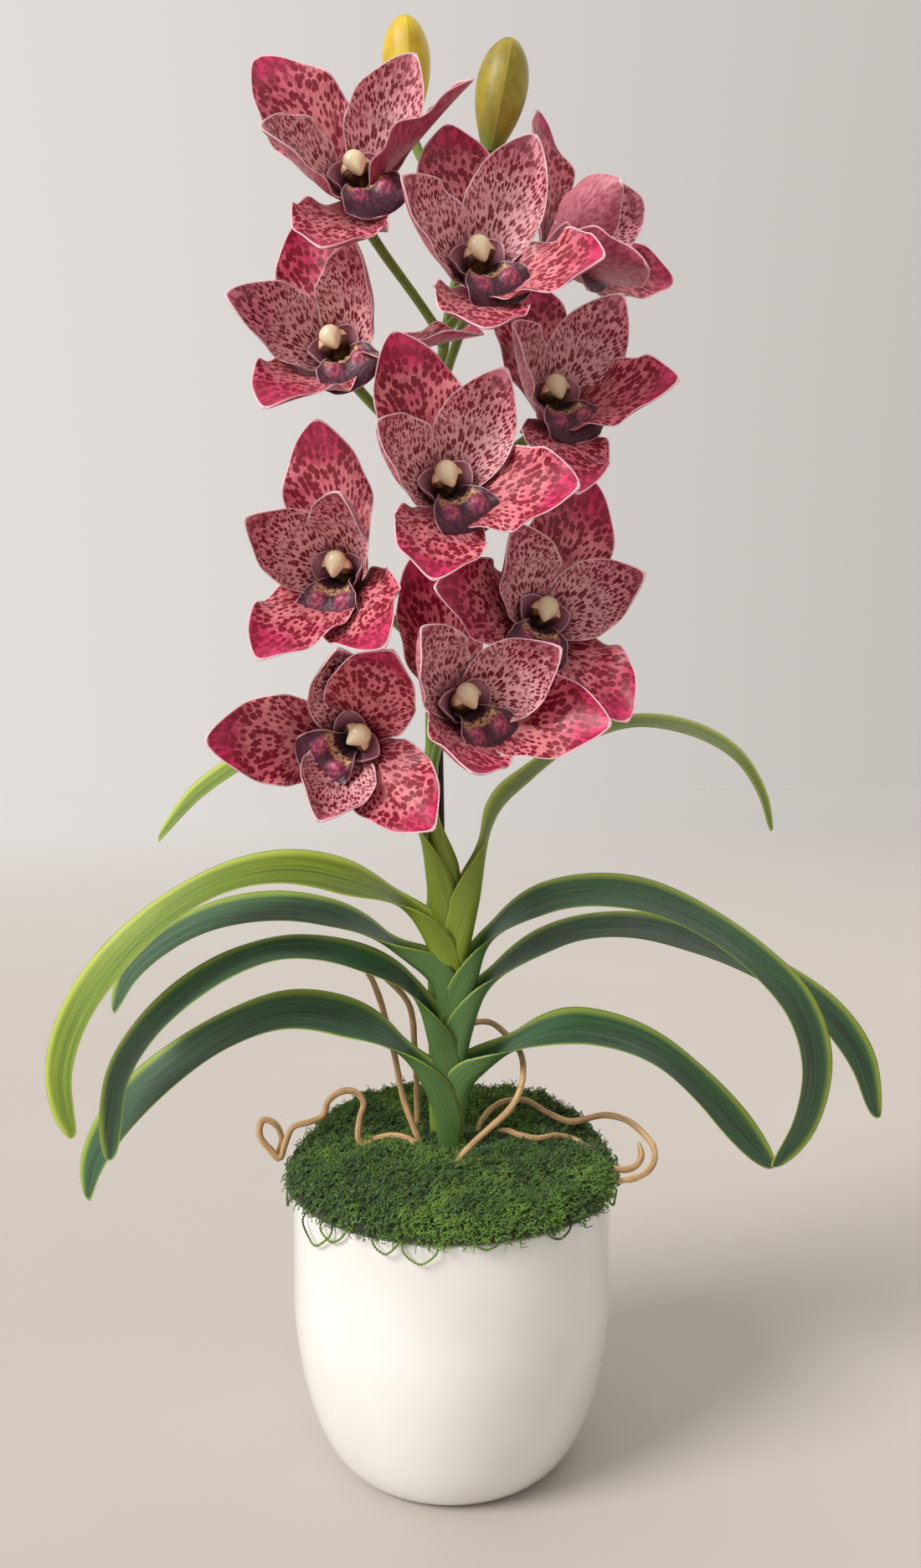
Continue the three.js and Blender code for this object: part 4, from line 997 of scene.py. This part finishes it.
# %% The tree for every round run
def run_tree():
    tree, given = new_tree("round_run", {
        "Step": ("Float", 0.0015), "Sides": ("Int", 12), "Knobs": ("Float", 0.0),
        "Knob Scale": ("Float", 90.0), "Wander": ("Float", 0.0), "Finish": ("Material", None)})
    curve = node(tree, "GeometryNodeMeshToCurve", {0: given["Geometry"]}).outputs[0]
    spaced = {"Curve": curve, "Length": given["Step"]}
    curve = node(tree, "GeometryNodeResampleCurve", spaced, mode="LENGTH").outputs[0]

    # One slow noise moves the line a little, and another makes it thicker and thinner.
    here = position(tree)
    shaken = node(tree, "ShaderNodeTexNoise", {"Vector": here, "Scale": 60.0, "Detail": 1.0})
    drift = scaled(tree, vector_calc(tree, "SUBTRACT", shaken.outputs["Color"], CENTRE), given["Wander"])
    curve = node(tree, "GeometryNodeSetPosition", {"Geometry": curve, "Offset": drift}).outputs[0]
    knobs = calc(tree, "SUBTRACT", cloud(tree, here, given["Knob Scale"]), 0.5)
    swell = calc(tree, "ADD", 1.0, times(tree, given["Knobs"], knobs))

    # The skin keeps how far along the run each point is, and on which side of it.
    curve = store(tree, curve, "run", node(tree, "GeometryNodeSplineParameter").outputs["Length"])
    circle = {"Resolution": given["Sides"], "Radius": 1.0}
    ring = node(tree, "GeometryNodeCurvePrimitiveCircle", circle).outputs[0]
    ring = store(tree, ring, "round", position(tree), "FLOAT_VECTOR")
    give_back(tree, curve, ring, times(tree, recall(tree, "girth"), swell), given["Finish"])
    return tree


ROUND_RUN = run_tree()
print(ROUND_RUN.name, "has", len(ROUND_RUN.nodes), "nodes")

# %% Bare lines for the tree
def line_piece(name, runs):
    """A mesh of bare lines, one for each (points, girths) pair in millimetres."""
    mesh = bpy.data.meshes.new(name)
    points = np.vstack([route for route, _ in runs]) * MM
    edges, shift = [], 0
    for route, _ in runs:
        edges += [(shift + i, shift + i + 1) for i in range(len(route) - 1)]
        shift += len(route)
    mesh.from_pydata(points.tolist(), edges, [])
    girth = mesh.attributes.new("girth", "FLOAT", "POINT")
    girth.data.foreach_set("value", (np.concatenate([size for _, size in runs]) * MM).astype(np.float32))
    piece = bpy.data.objects.new(name, mesh)
    bpy.context.scene.collection.objects.link(piece)
    return piece


# %% Finish of roots, stem and stick
def run_finish(name, tones, grain_scale, relief, rough):
    """A grain along the run between a dark and a light tone, with rings of a third round it."""
    material, tree, surface = new_finish(name, Roughness=rough)
    dark, light, ring_tone = (paint(*tone) for tone in tones)
    around = parts(tree, fact(tree, "round"))
    run = node(tree, "ShaderNodeAttribute", attribute_name="run").outputs["Fac"]
    place = vector(tree, around[0], around[1], times(tree, run, grain_scale))
    grain = cloud(tree, place, 3.0, detail=5.0, rough=0.65)
    rings = cloud(tree, vector(tree, times(tree, run, 140.0), 0.0, 0.0), 1.0, detail=3.0)
    tone = blend(tree, rise(tree, grain, 0.35, 0.65), dark, light)
    tone = blend(tree, times(tree, rise(tree, rings, 0.5, 0.75), 0.6), tone, ring_tone)
    dress(tree, surface, tone, grain, relief)
    return material


root_paint = run_finish("root_paint", [(158, 116, 74), (226, 190, 140), (172, 132, 84)], 18.0, 0.5, 0.5)
stem_paint = run_finish("stem_paint", [(84, 118, 30), (134, 160, 62), (70, 104, 30)], 6.0, 0.25, 0.4)
stick_paint = run_finish("stick_paint", [(16, 16, 15), (34, 33, 30), (22, 22, 20)], 30.0, 0.15, 0.45)

# %% Where the stem, the stalks and the stick run
# A stalk leaves the stem outward and up, swells towards the bloom and flares where it grows out of the
# stem. Stalks stop a little short of what they carry.
STEM_ROUTE = route_through([
    (-8, 18, 50), (-9, 18, 150), (-10.5, 18, 290), (-11.5, 15, 400), (-11, 12, 480), (-8, 10, 560),
    (0, 8, 615), (10, 6, 650), (20, 5, 689.6)])
STEM = {"foot": 3.8, "tip": 2.7, "knuckles": (288, 372), "knuckle": 1.1, "knuckle_length": 2.6}
STALK = {"root": 2.4, "neck": 3.2, "bud_neck": 2.8, "out": 10, "up": 16, "flare": 1.3, "flare_length": 0.12,
         "short": 0.3}
STICK = {"radius": 1.75, "foot": (-1, 22.6, 40), "top": (-9.5, 22.6, 540), "rounded": 1.5}
BUDS = {
    "left": {"from": (-22, 7, 707), "to": (-25, 5, 761), "radius": 12.5, "joint": 640, "lean": (-14, 0, 40)},
    "right": {"from": (20.1, 5, 690), "to": (31, 3, 748), "radius": 13.5},
}


def stem_at(height):
    share = np.interp(height, STEM_ROUTE[:, 2], np.arange(len(STEM_ROUTE)))
    return np.stack([np.interp(share, np.arange(len(STEM_ROUTE)), axis) for axis in STEM_ROUTE.T])


def stalk(bloom):
    facing = facing_of(bloom)
    start = stem_at(bloom["joint"])
    end = np.asarray(bloom["at"]) + facing * (HUB_PROFILE[0][1] - STALK["short"])
    outward = unit((end - start) * (1, 1, 0))
    lead = start + outward * STALK["out"] + (0, 0, STALK["up"])
    route = bend(start, lead, end - facing * STALK["up"], end)
    share = np.linspace(0, 1, len(route))
    girth = STALK["root"] + (STALK["neck"] - STALK["root"]) * share ** 3
    return route, girth + STALK["flare"] * np.exp(-(share / STALK["flare_length"]) ** 2)


def bud_stalk(bud):
    start, end = stem_at(bud["joint"]), np.asarray(bud["from"], float)
    axis = unit(np.asarray(bud["to"]) - end)
    end = end - axis * STALK["short"]
    route = bend(start, start + bud["lean"], end - axis * STALK["up"], end)
    return route, np.full(len(route), STALK["bud_neck"])


print("the stem is", round(distances(STEM_ROUTE)[-1]), "mm long")

# %% Make the flowering stem and the stick
share = distances(STEM_ROUTE) / distances(STEM_ROUTE)[-1]
stem_girth = STEM["foot"] + (STEM["tip"] - STEM["foot"]) * share
for height in STEM["knuckles"]:
    off_knuckle = (STEM_ROUTE[:, 2] - height) / STEM["knuckle_length"]
    stem_girth = stem_girth + STEM["knuckle"] * np.exp(-off_knuckle ** 2)
runs = [(STEM_ROUTE, stem_girth), *(stalk(bloom) for bloom in BLOOMS.values()), bud_stalk(BUDS["left"])]
stem_piece = grow(line_piece("green_stem", runs), ROUND_RUN,
                  {"Step": 0.0022, "Sides": 20, "Knobs": 0.08, "Wander": 0.0004, "Finish": stem_paint})
stands_for(stem_piece, "stem", "flower_stem")

stick_line = np.linspace(STICK["foot"], STICK["top"], 60)
below_top = (STICK["top"][2] - stick_line[:, 2]) / STICK["rounded"]
stick_girth = STICK["radius"] * np.sqrt(np.clip(below_top, 0.05, 1))
stick_piece = grow(line_piece("thin_stick", [(stick_line, stick_girth)]), ROUND_RUN,
                   {"Step": 0.004, "Sides": 16, "Knobs": 0.03, "Finish": stick_paint})
stands_for(stick_piece, "stick", "support_stick")

# %% Aerial roots
ROOTS = {
    "left_arch": [
        (-12, -1, 153), (-20, 3, 162), (-31, 8, 164.5), (-41, 8, 163), (-50, 8, 160), (-51, 12, 172),
        (-49, 14, 181), (-54, 14, 187), (-62, 13, 187), (-68, 12, 182), (-71, 12, 174), (-79, 10, 171),
        (-87, 9, 169), (-91, 6, 161), (-94, 4, 153), (-99, 4, 158), (-105, 4, 167), (-103, 5, 174),
        (-97, 6, 172), (-93.5, 9, 163), (-96, 10, 154)],
    "left_tall": [
        (-14, 6, 153), (-20, 9, 166), (-27, 13, 184), (-32, 18, 206), (-41, 22, 238), (-49, 24, 254),
        (-57, 25, 263)],
    "left_back": [
        (-20, 28, 158), (-20, 27, 185), (-21, 26, 210), (-24, 26, 232), (-32, 27, 243), (-40, 28, 249)],
    "right_tall": [
        (-2, -19, 152), (7, -21, 166), (20, -20, 178), (32, -16, 189), (38, -8, 201), (37, 4, 211),
        (29, 17, 219), (20, 26, 223), (10, 30, 220), (3, 32, 205), (1, 33, 185), (0, 34, 162)],
    "right_loop": [
        (12, 18, 158), (17, 26, 168), (30, 38, 174), (42, 36, 175), (54, 30, 170), (66, 26, 166),
        (75, 25, 168), (86, 26, 170), (97, 24, 168), (106, 15, 163), (110, 2, 158), (106, -10, 153),
        (96, -17, 150), (84, -19, 149.5)],
    "right_low": [
        (22, 22, 160), (30, 14, 165), (38, 8, 164.5), (47, 7, 163), (57, 12, 163), (66, 13, 161),
        (75, 4, 158), (81, -8, 155), (86, -12, 153.5), (96, -10, 153), (102, -3, 156), (102, 6, 161)],
}
ROOT = {"radius": 1.75, "end": 0.6, "swelling": 6}
for place, points in ROOTS.items():
    route = route_through(points)
    share = distances(route) / distances(route)[-1]
    thinned = ROOT["end"] + ROOT["swelling"] * np.minimum(share, 1 - share)
    girth = ROOT["radius"] * np.minimum(1, thinned)
    piece = grow(line_piece(f"wiry_root_{place}", [(route, girth)]), ROUND_RUN,
                 {"Step": 0.0016, "Sides": 14, "Knobs": 0.45, "Knob Scale": 110.0, "Wander": 0.0012,
                  "Finish": root_paint})
    stands_for(piece, "root", f"root_{place}")

# %% [markdown]
# ## Buds
# Two closed buds end the spike. Each is a drop of three broad faces that meet in soft seams, bright
# yellow on the left and olive on the right.

# %% Measures and finish of the buds
BUD = {"widest": 0.6, "base": 0.3, "tip": 0.06, "lobe": 0.05, "seam": 0.045, "seam_turn": 0.6,
       "seam_width": 0.1, "rows": 44, "around": 60}
THIRD = 2 * np.pi / 3


def bud_finish(name, body, shade, seam_tone):
    material, tree, surface = new_finish(name, Roughness=0.48)
    seam, along, _ = parts(tree, fact(tree, "zone"))
    mottle = cloud(tree, node(tree, "ShaderNodeTexCoord").outputs["Object"], 90.0, detail=4.0)
    tone = blend(tree, rise(tree, mottle, 0.35, 0.7), body, shade)
    tone = blend(tree, less(tree, rise(tree, along, 0.0, 0.25)), tone, paint(96, 116, 34))
    tone = blend(tree, times(tree, rise(tree, seam, 0.55, 1.0), 0.5), tone, seam_tone)
    dress(tree, surface, tone, mottle, 0.3)
    return material

# %% Form of the buds
def bud_form(bud):
    """The rings of one bud, with how near each point is to a seam and to the tip."""
    foot, top = np.asarray(bud["from"], float), np.asarray(bud["to"], float)
    axis = unit(top - foot)
    right = unit(np.cross((0, 1, 0), axis))
    front = np.cross(axis, right)
    along = 0.5 - 0.5 * np.cos(np.linspace(0, np.pi, BUD["rows"]))
    swelling = BUD["base"] + (1 - BUD["base"]) * np.sin(np.pi / 2 * np.minimum(along / BUD["widest"], 1))
    past = np.clip((along - BUD["widest"]) / (1 - BUD["widest"]), 0, 1)
    closing = np.maximum(BUD["tip"], (1 - past ** 2.2) ** 0.6)
    profile = np.where(along < BUD["widest"], swelling, closing)[:, None]

    angle = np.linspace(0, 2 * np.pi, BUD["around"], endpoint=False)
    off_seam = (angle - BUD["seam_turn"] + THIRD / 2) % THIRD - THIRD / 2
    seam = np.exp(-(off_seam / BUD["seam_width"]) ** 2)
    lobes = BUD["lobe"] * np.cos(3 * off_seam) + BUD["seam"] * seam
    radius = bud["radius"] * profile * (1 + lobes * profile)
    centre = foot + along[:, None] * (top - foot)
    rings = (centre[:, None] + (radius * np.cos(angle))[..., None] * right
             + (radius * np.sin(angle))[..., None] * front)
    return rings, np.tile(seam, BUD["rows"]), np.repeat(along, BUD["around"])


print("rings of a bud:", len(bud_form(BUDS["left"])[0]))

# %% Make the two buds
bud_paints = {
    "left": bud_finish("bud_paint_yellow", paint(214, 186, 30), paint(196, 160, 20), paint(240, 226, 110)),
    "right": bud_finish("bud_paint_olive", paint(158, 142, 28), paint(130, 114, 20), paint(204, 188, 84)),
}
for place, bud in BUDS.items():
    rings, seam, along = bud_form(bud)
    points, faces = closed_loft(rings)
    zone = np.stack([np.append(seam, [0, 0]), np.append(along, [0, 1]), np.ones(len(points))], axis=1)
    closed_bud = Gathered("zone")
    closed_bud.add(points, faces, zone=zone)
    stands_for(closed_bud.piece(f"closed_bud_{place}", [bud_paints[place]]), "bud", f"bud_{place}")

# %% [markdown]
# ## The pot
# A slip-cast pot is a body of revolution: the side swells quickly from the foot and then runs up
# straight to a rounded rim. Its profile is a short list of radii and heights, turned through a circle.
# The glaze is white and wet-looking, with the faint unevenness that a kiln leaves.

# %% Measures and finish of the pot
POT = {"radius": 85, "height": 144, "foot": 54, "round": 85, "wall": 4, "floor": 6, "rim": 1.6,
       "bevel": 1.2, "around": 160}
# The side swells like a squashed circle: the two powers say how fast it fills out from the foot.
SWELL = (1.67, 1.89)


def glaze_finish():
    material, tree, surface = new_finish("white_glaze", Roughness=0.16, Coat_Weight=0.5, Coat_Roughness=0.05)
    place = node(tree, "ShaderNodeTexCoord").outputs["Object"]
    drift = cloud(tree, place, 14.0, detail=3.0)
    waves = cloud(tree, place, 30.0, detail=1.0)
    tone = blend(tree, rise(tree, drift, 0.35, 0.7), paint(236, 235, 233), paint(228, 226, 223))
    specks = node(tree, "ShaderNodeTexVoronoi", {"Vector": place, "Scale": 46.0})
    chosen = rise(tree, parts(tree, specks.outputs["Color"])[0], 0.93, 0.95)
    small = less(tree, rise(tree, specks.outputs["Distance"], 0.02, 0.045))
    tone = blend(tree, times(tree, chosen, small, 0.6), tone, paint(150, 128, 110))
    dress(tree, surface, tone, waves, 0.25)
    return material

# %% Profile of the pot
def pot_radius(z):
    rest = np.clip(1 - z / POT["round"], 0, 1)
    return POT["foot"] + (POT["radius"] - POT["foot"]) * (1 - rest ** SWELL[0]) ** (1 / SWELL[1])


def turned_profile():
    """Radii and heights from the middle of the foot, up the outside, over the rim and down inside."""
    low = 0.4
    rising = low + (POT["round"] - low) * (1 - np.cos(np.linspace(0, np.pi / 2, 30)))
    foot = [(POT["foot"] - 6, 0), (POT["foot"] - POT["bevel"], 0)]
    outside = [(pot_radius(z), z) for z in rising]
    sides = [(POT["radius"], z) for z in np.linspace(POT["round"] + 6, POT["height"] - POT["rim"], 9)]
    half = POT["wall"] / 2
    rim = [(POT["radius"] - half + half * np.cos(turn), POT["height"] - POT["rim"] * (1 - np.sin(turn)))
           for turn in np.linspace(0, np.pi, 12)[1:]]
    inside = [(pot_radius(z) - POT["wall"], z) for z in np.linspace(POT["round"], POT["floor"], 12)]
    return [*foot, *outside, *sides, *rim, *inside]


pot_body = Gathered()
pot_body.add(*closed_loft(turned_rings(turned_profile(), POT["around"])))
stands_for(pot_body.piece("glazed_pot", [glaze_finish()]), "pot", "pot")

# %% [markdown]
# ## The moss
# Dried moss is a mat of short curls. A lumpy bed gives it body, and Geometry Nodes scatter thousands of
# small curled strands over the bed: each is a short line, bent into part of a coil with a phase of
# its own, and swept with a three-sided section, because a strand is thinner than a pencil line.

# %% Top and finish of the moss
MOSS = {"edge": 88, "shoulder": 154, "crown": 160, "rise": 13, "lump": 1.6, "seat": 144.3, "foot": 132,
        "slope": 4.0, "hem": 146.5, "sides": 180}


def moss_top(x, y):
    dome = MOSS["crown"] - (MOSS["crown"] - MOSS["shoulder"]) * (np.hypot(x, y) / MOSS["edge"]) ** 4
    back = MOSS["rise"] * eased(y, 12, 62)
    lumps = np.sin(x * 0.19 + 1) * np.cos(y * 0.17) + 0.6 * np.sin((x + y) * 0.31)
    return dome + back + MOSS["lump"] * lumps


def moss_finish(name, dark, light, bright):
    material, tree, surface = new_finish(name, Roughness=0.75, Sheen_Weight=0.2)
    place = node(tree, "ShaderNodeTexCoord").outputs["Object"]
    strand_tone = node(tree, "ShaderNodeAttribute", attribute_name="tone").outputs["Fac"]
    patches = cloud(tree, place, 28.0, detail=3.0)
    fine = cloud(tree, place, 400.0, detail=3.0)
    tone = blend(tree, strand_tone, dark, light)
    tone = blend(tree, times(tree, rise(tree, patches, 0.45, 0.65), 0.55), tone, bright)
    dress(tree, surface, tone, fine, 0.8)
    return material


print("the moss is", round(moss_top(0, 0)), "mm high in the middle")

# %% The bed
def bed_rings():
    """A skirt that dips into the pot, then the lumpy top from its edge to its middle."""
    inner = POT["radius"] - POT["wall"] - 0.6
    skirt = [(inner, MOSS["foot"]), (inner, MOSS["seat"]), (POT["radius"] + 0.6, MOSS["seat"]),
             (MOSS["edge"] - 0.6, MOSS["hem"])]
    rings = list(turned_rings(skirt, MOSS["sides"]))
    angle = np.linspace(0, 2 * np.pi, MOSS["sides"], endpoint=False)
    for r in [MOSS["edge"] - 1.5, *np.linspace(84, 1.5, 56)]:
        x, y = r * np.cos(angle), r * np.sin(angle)
        z = moss_top(x, y) - MOSS["slope"] * eased(r, 78, 88)
        # Small clumps and large ones: waves that other waves shake, so no row of them shows.
        z = z + 0.9 * np.sin(x * 1.1 + 2 * np.sin(y * 0.7)) * np.sin(y * 1.3 + 1.5 * np.sin(x * 0.9))
        z = z + 1.9 * np.sin(x * 0.43 + 1.4 * np.sin(y * 0.31)) * np.sin(y * 0.47 + 1.2 * np.sin(x * 0.37))
        rings.append(np.stack([x, y, z], axis=1))
    rings = np.stack(rings)
    bulge = 1.4 * np.sin(9 * angle) * np.sin(4 * angle + 1) + 0.8 * np.sin(23 * angle)
    stretch = 1 + bulge / MOSS["edge"] * eased(np.hypot(rings[..., 0], rings[..., 1]), 85.2, 87)
    return rings * np.stack([stretch, stretch, np.ones_like(stretch)], axis=-1)


moss_bed_paint = moss_finish("moss_bed_paint", paint(22, 36, 8), paint(30, 50, 12), paint(44, 70, 18))
moss_paint = moss_finish("moss_paint", paint(30, 56, 12), paint(88, 132, 34), paint(124, 168, 46))
bed = Gathered()
bed.add(*closed_loft(bed_rings()))
moss_bed = bed.piece("moss_bed", [moss_bed_paint])
stands_for(moss_bed, "moss", "moss")

# %% [markdown]
# ## The curls of the moss
# Every strand starts at a random point of the bed, from a fixed seed. It leans away from the bed by a
# random turn, gets a size, a tone and a phase of its own, and only then is it bent, so no two are alike.

# %% Straight lines, scattered
def random_number(tree, least, most, seed):
    sockets = {2: least, 3: most, "Seed": seed}
    return node(tree, "FunctionNodeRandomValue", sockets, data_type="FLOAT").outputs[1]


def scattered_lines(tree, given):
    """Straight lines on the upper side of the mesh, each with its own lean and size."""
    face_z = parts(tree, node(tree, "GeometryNodeInputNormal").outputs[0])[2]
    height = parts(tree, position(tree))[2]
    outside = times(tree, calc(tree, "GREATER_THAN", face_z, -0.2),
                    calc(tree, "GREATER_THAN", height, MOSS["seat"] * MM))
    density = times(tree, given["Density"], outside)
    scatter = node(tree, "GeometryNodeDistributePointsOnFaces",
                   {"Mesh": given["Geometry"], "Density": density, "Seed": given["Seed"]}).outputs
    tip = vector(tree, 0.0, 0.0, given["Length"])
    line = node(tree, "GeometryNodeCurvePrimitiveLine", {"End": tip}).outputs[0]
    line = node(tree, "GeometryNodeResampleCurve", {"Curve": line, "Count": given["Points"]}).outputs[0]
    back = times(tree, given["Lean"], -1.0)
    lean = {0: vector(tree, back, back, -math.pi), 1: vector(tree, given["Lean"], given["Lean"], math.pi),
            "Seed": given["Seed"]}
    tilt = node(tree, "FunctionNodeRandomValue", lean, data_type="FLOAT_VECTOR").outputs[0]
    turned = node(tree, "FunctionNodeRotateRotation", {0: scatter["Rotation"], 1: tilt},
                  rotation_space="LOCAL").outputs[0]
    size = random_number(tree, 0.55, 1.35, calc(tree, "ADD", given["Seed"], 7.0))
    placed = {"Points": scatter["Points"], "Instance": line, "Rotation": turned, "Scale": size}
    return node(tree, "GeometryNodeInstanceOnPoints", placed).outputs[0]

# %% The tree for the curls
def curl_tree():
    tree, given = new_tree("moss_curls", {
        "Density": ("Float", 118000.0), "Length": ("Float", 0.0036), "Girth": ("Float", 0.00046),
        "Curl": ("Float", 0.0013), "Turns": ("Float", 8.0), "Points": ("Int", 8), "Lean": ("Float", 1.3),
        "Seed": ("Int", 1), "Finish": ("Material", None)})
    strands = scattered_lines(tree, given)
    for label, most in (("tone", 1.0), ("phase", 2 * math.pi)):
        own = random_number(tree, 0.0, most, calc(tree, "ADD", given["Seed"], 11.0 + most))
        strands = store(tree, strands, label, own, domain="INSTANCE")
    strands = node(tree, "GeometryNodeRealizeInstances", {0: strands}).outputs[0]

    # The coil starts straight out of the bed and gets thinner towards its tip.
    share = node(tree, "GeometryNodeSplineParameter").outputs["Factor"]
    turn = calc(tree, "ADD", recall(tree, "phase"), times(tree, share, given["Turns"]))
    climb = times(tree, calc(tree, "SINE", times(tree, turn, 1.7)), 0.7)
    sway = vector(tree, calc(tree, "COSINE", turn), calc(tree, "SINE", turn), climb)
    reach = times(tree, given["Curl"], calc(tree, "MINIMUM", times(tree, share, 2.0), 1.0))
    moved = {"Geometry": strands, "Offset": scaled(tree, sway, reach)}
    strands = node(tree, "GeometryNodeSetPosition", moved).outputs[0]
    thin = times(tree, given["Girth"], less(tree, times(tree, share, 0.5)))
    ring = node(tree, "GeometryNodeCurvePrimitiveCircle", {"Resolution": 3, "Radius": 1.0}).outputs[0]
    give_back(tree, strands, ring, thin, given["Finish"])
    return tree


MOSS_CURLS = curl_tree()
print(MOSS_CURLS.name, "has", len(MOSS_CURLS.nodes), "nodes")

# %% Three kinds of strands
STRAND = {"Density": 118000.0, "Girth": 0.00046, "Finish": moss_paint}
STRAND_KINDS = {
    "curls": {"Seed": 3, "Length": 0.0036, "Curl": 0.0013},
    "tufts": {"Seed": 8, "Length": 0.0046, "Curl": 0.0016},
    "crumbs": {"Seed": 5, "Length": 0.0030, "Curl": 0.0010},
}
for kind, sizes in STRAND_KINDS.items():
    piece = bpy.data.objects.new(f"moss_{kind}", moss_bed.data)
    bpy.context.scene.collection.objects.link(piece)
    grow(piece, MOSS_CURLS, {**STRAND, **sizes})
    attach(piece, "root")
    print(piece.name, len(piece.data.polygons), "faces")

# %% Threads that hang over the rim
# A thread leaves the moss at one clock angle, hangs by its drop, or stands where that is negative, and
# comes back at another angle.
THREADS = [(-86, -74, 13), (-57, -43, 16), (-46, -37, 11), (-24, -17, 9), (-14, -5, 13), (8, 15, 6),
           (33, 41, 7), (68, 78, 8), (128, 137, 9), (186, 196, 11), (-140, -122, -15), (-116, -104, -9)]
THREAD = {"inner": 80, "standing": 74, "outer": 87.6, "off": 0.4, "rim": 148.5, "girth": 0.5,
          "bead": 0.55, "bead_pitch": 4.4}
# At six places of a thread: how far round it has come, how much of its drop, and how high it starts.
SWING = np.array([0.1, -0.1, 0.4, 0.62, 1.1, 0.9])
SAG = np.array([0, 0.5, 1, 0.98, 0.45, 0])
RAISED = np.array([1.5, 0, 0, 0, 0, 1.5])


def thread_route(start, end, drop):
    turn = np.radians(start + (end - start) * SWING - 90)
    outer = THREAD["outer"] if drop > 0 else THREAD["standing"]
    far = outer + THREAD["off"]
    radius = np.array([THREAD["inner"], outer, far, far, outer, THREAD["inner"]])
    height = THREAD["rim"] + RAISED - drop * SAG
    route = route_through(np.stack([radius * np.cos(turn), radius * np.sin(turn), height], axis=1))
    beads = 1 + THREAD["bead"] * np.sin(distances(route) * THREAD["bead_pitch"])
    return route, THREAD["girth"] * beads


threads = grow(line_piece("moss_threads", [thread_route(*thread) for thread in THREADS]), ROUND_RUN,
               {"Step": 0.00045, "Sides": 6, "Wander": 0.003, "Finish": moss_paint})
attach(threads, "root")
print(threads.name, len(threads.data.polygons), "faces")

# %% [markdown]
# ## What stays as it is
# The plug in the pot and the core inside the leaf bases are hidden, so their solids stay and only get a
# finish.

# %% Finishes of the hidden solids
def foam_finish():
    material, tree, surface = new_finish("filler_foam", Roughness=0.9)
    cells = cloud(tree, node(tree, "ShaderNodeTexCoord").outputs["Object"], 500.0, detail=3.0)
    tone = blend(tree, rise(tree, cells, 0.35, 0.65), paint(92, 100, 76), paint(130, 138, 108))
    dress(tree, surface, tone, cells, 0.4)
    return material


for name, finish in (("filler", foam_finish()), ("leaf_stalk", stem_paint)):
    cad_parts[name].data.materials.clear()
    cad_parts[name].data.materials.append(finish)

# %% [markdown]
# ## Floor, light and camera
# The plant stands on a plain pale floor. A broad, soft sun from the upper left models the blooms, a faint
# one from behind lights their edges, and a pale sky fills in. Suns light the whole floor alike, and far
# away the floor is painted in the sky's tone, lighter on the left and darker on the right as painted light,
# so no horizon cuts the picture. The camera stands where the photographer's did, 0.63 m in front of the
# plant.

# %% Floor
SKY = {"low": -0.55, "high": 0.6, "left": paint(250, 245, 240), "right": paint(212, 205, 200),
       "strength": 0.82}


def floor_finish():
    material, tree, surface = new_finish("pale_floor", Roughness=0.7)
    place = node(tree, "ShaderNodeTexCoord").outputs["Object"]
    near = blend(tree, cloud(tree, place, 3.0), paint(192, 186, 180), paint(187, 181, 174))
    away = node(tree, "ShaderNodeVectorMath", {0: place}, operation="LENGTH").outputs["Value"]
    side = calc(tree, "DIVIDE", parts(tree, place)[0], calc(tree, "MAXIMUM", away, 0.1))
    # Far off, the floor is painted in the sky's light: lighter to the left and darker to the right.
    far = blend(tree, rise(tree, side, SKY["low"], SKY["high"]), paint(203, 203, 203), paint(171, 168, 167))
    dress(tree, surface, blend(tree, rise(tree, away, 0.6, 5.0), near, far))
    return material


bpy.ops.mesh.primitive_plane_add(size=16, location=(0, 0, 0))
floor = bpy.context.object
floor.name = "floor"
floor.data.materials.append(floor_finish())
print("floor:", round(floor.dimensions.x), "m wide")

# %% Lights
def soft_sun(name, from_place, strength, spread, colour):
    light = bpy.data.lights.new(name, "SUN")
    light.energy, light.angle, light.color = strength, math.radians(spread), colour
    lamp = bpy.data.objects.new(name, light)
    lamp.rotation_euler = Vector(from_place).to_track_quat("Z", "Y").to_euler()
    bpy.context.scene.collection.objects.link(lamp)
    print(name, "strength", strength)


soft_sun("key_light", (-1.3, -0.9, 1.2), 2.8, 24, (1.0, 0.97, 0.93))
soft_sun("rim_light", (1.0, 1.2, 1.4), 0.35, 40, (1.0, 0.98, 0.96))

# %% Sky
world = bpy.data.worlds.new("pale_sky")
world.use_nodes = True
sky = world.node_tree
across_sky = parts(sky, node(sky, "ShaderNodeTexCoord").outputs["Generated"])[0]
sky_tone = blend(sky, rise(sky, across_sky, SKY["low"], SKY["high"]), SKY["left"], SKY["right"])
sky.links.new(sky_tone, sky.nodes["Background"].inputs["Color"])
sky.nodes["Background"].inputs["Strength"].default_value = SKY["strength"]
bpy.context.scene.world = world
bpy.context.scene.view_settings.view_transform = "Standard"
print("sky strength", SKY["strength"])

# %% Camera
EYE = (0.0046, -0.626, 0.382)
LOOK_DOWN = 2.25
LENS = 26.92
camera = bpy.data.objects.new("camera", bpy.data.cameras.new("camera"))
camera.location = EYE
camera.rotation_euler = (math.radians(90 - LOOK_DOWN), 0, 0)
camera.data.lens = LENS
bpy.context.scene.collection.objects.link(camera)
bpy.context.scene.camera = camera
print("camera at", EYE)
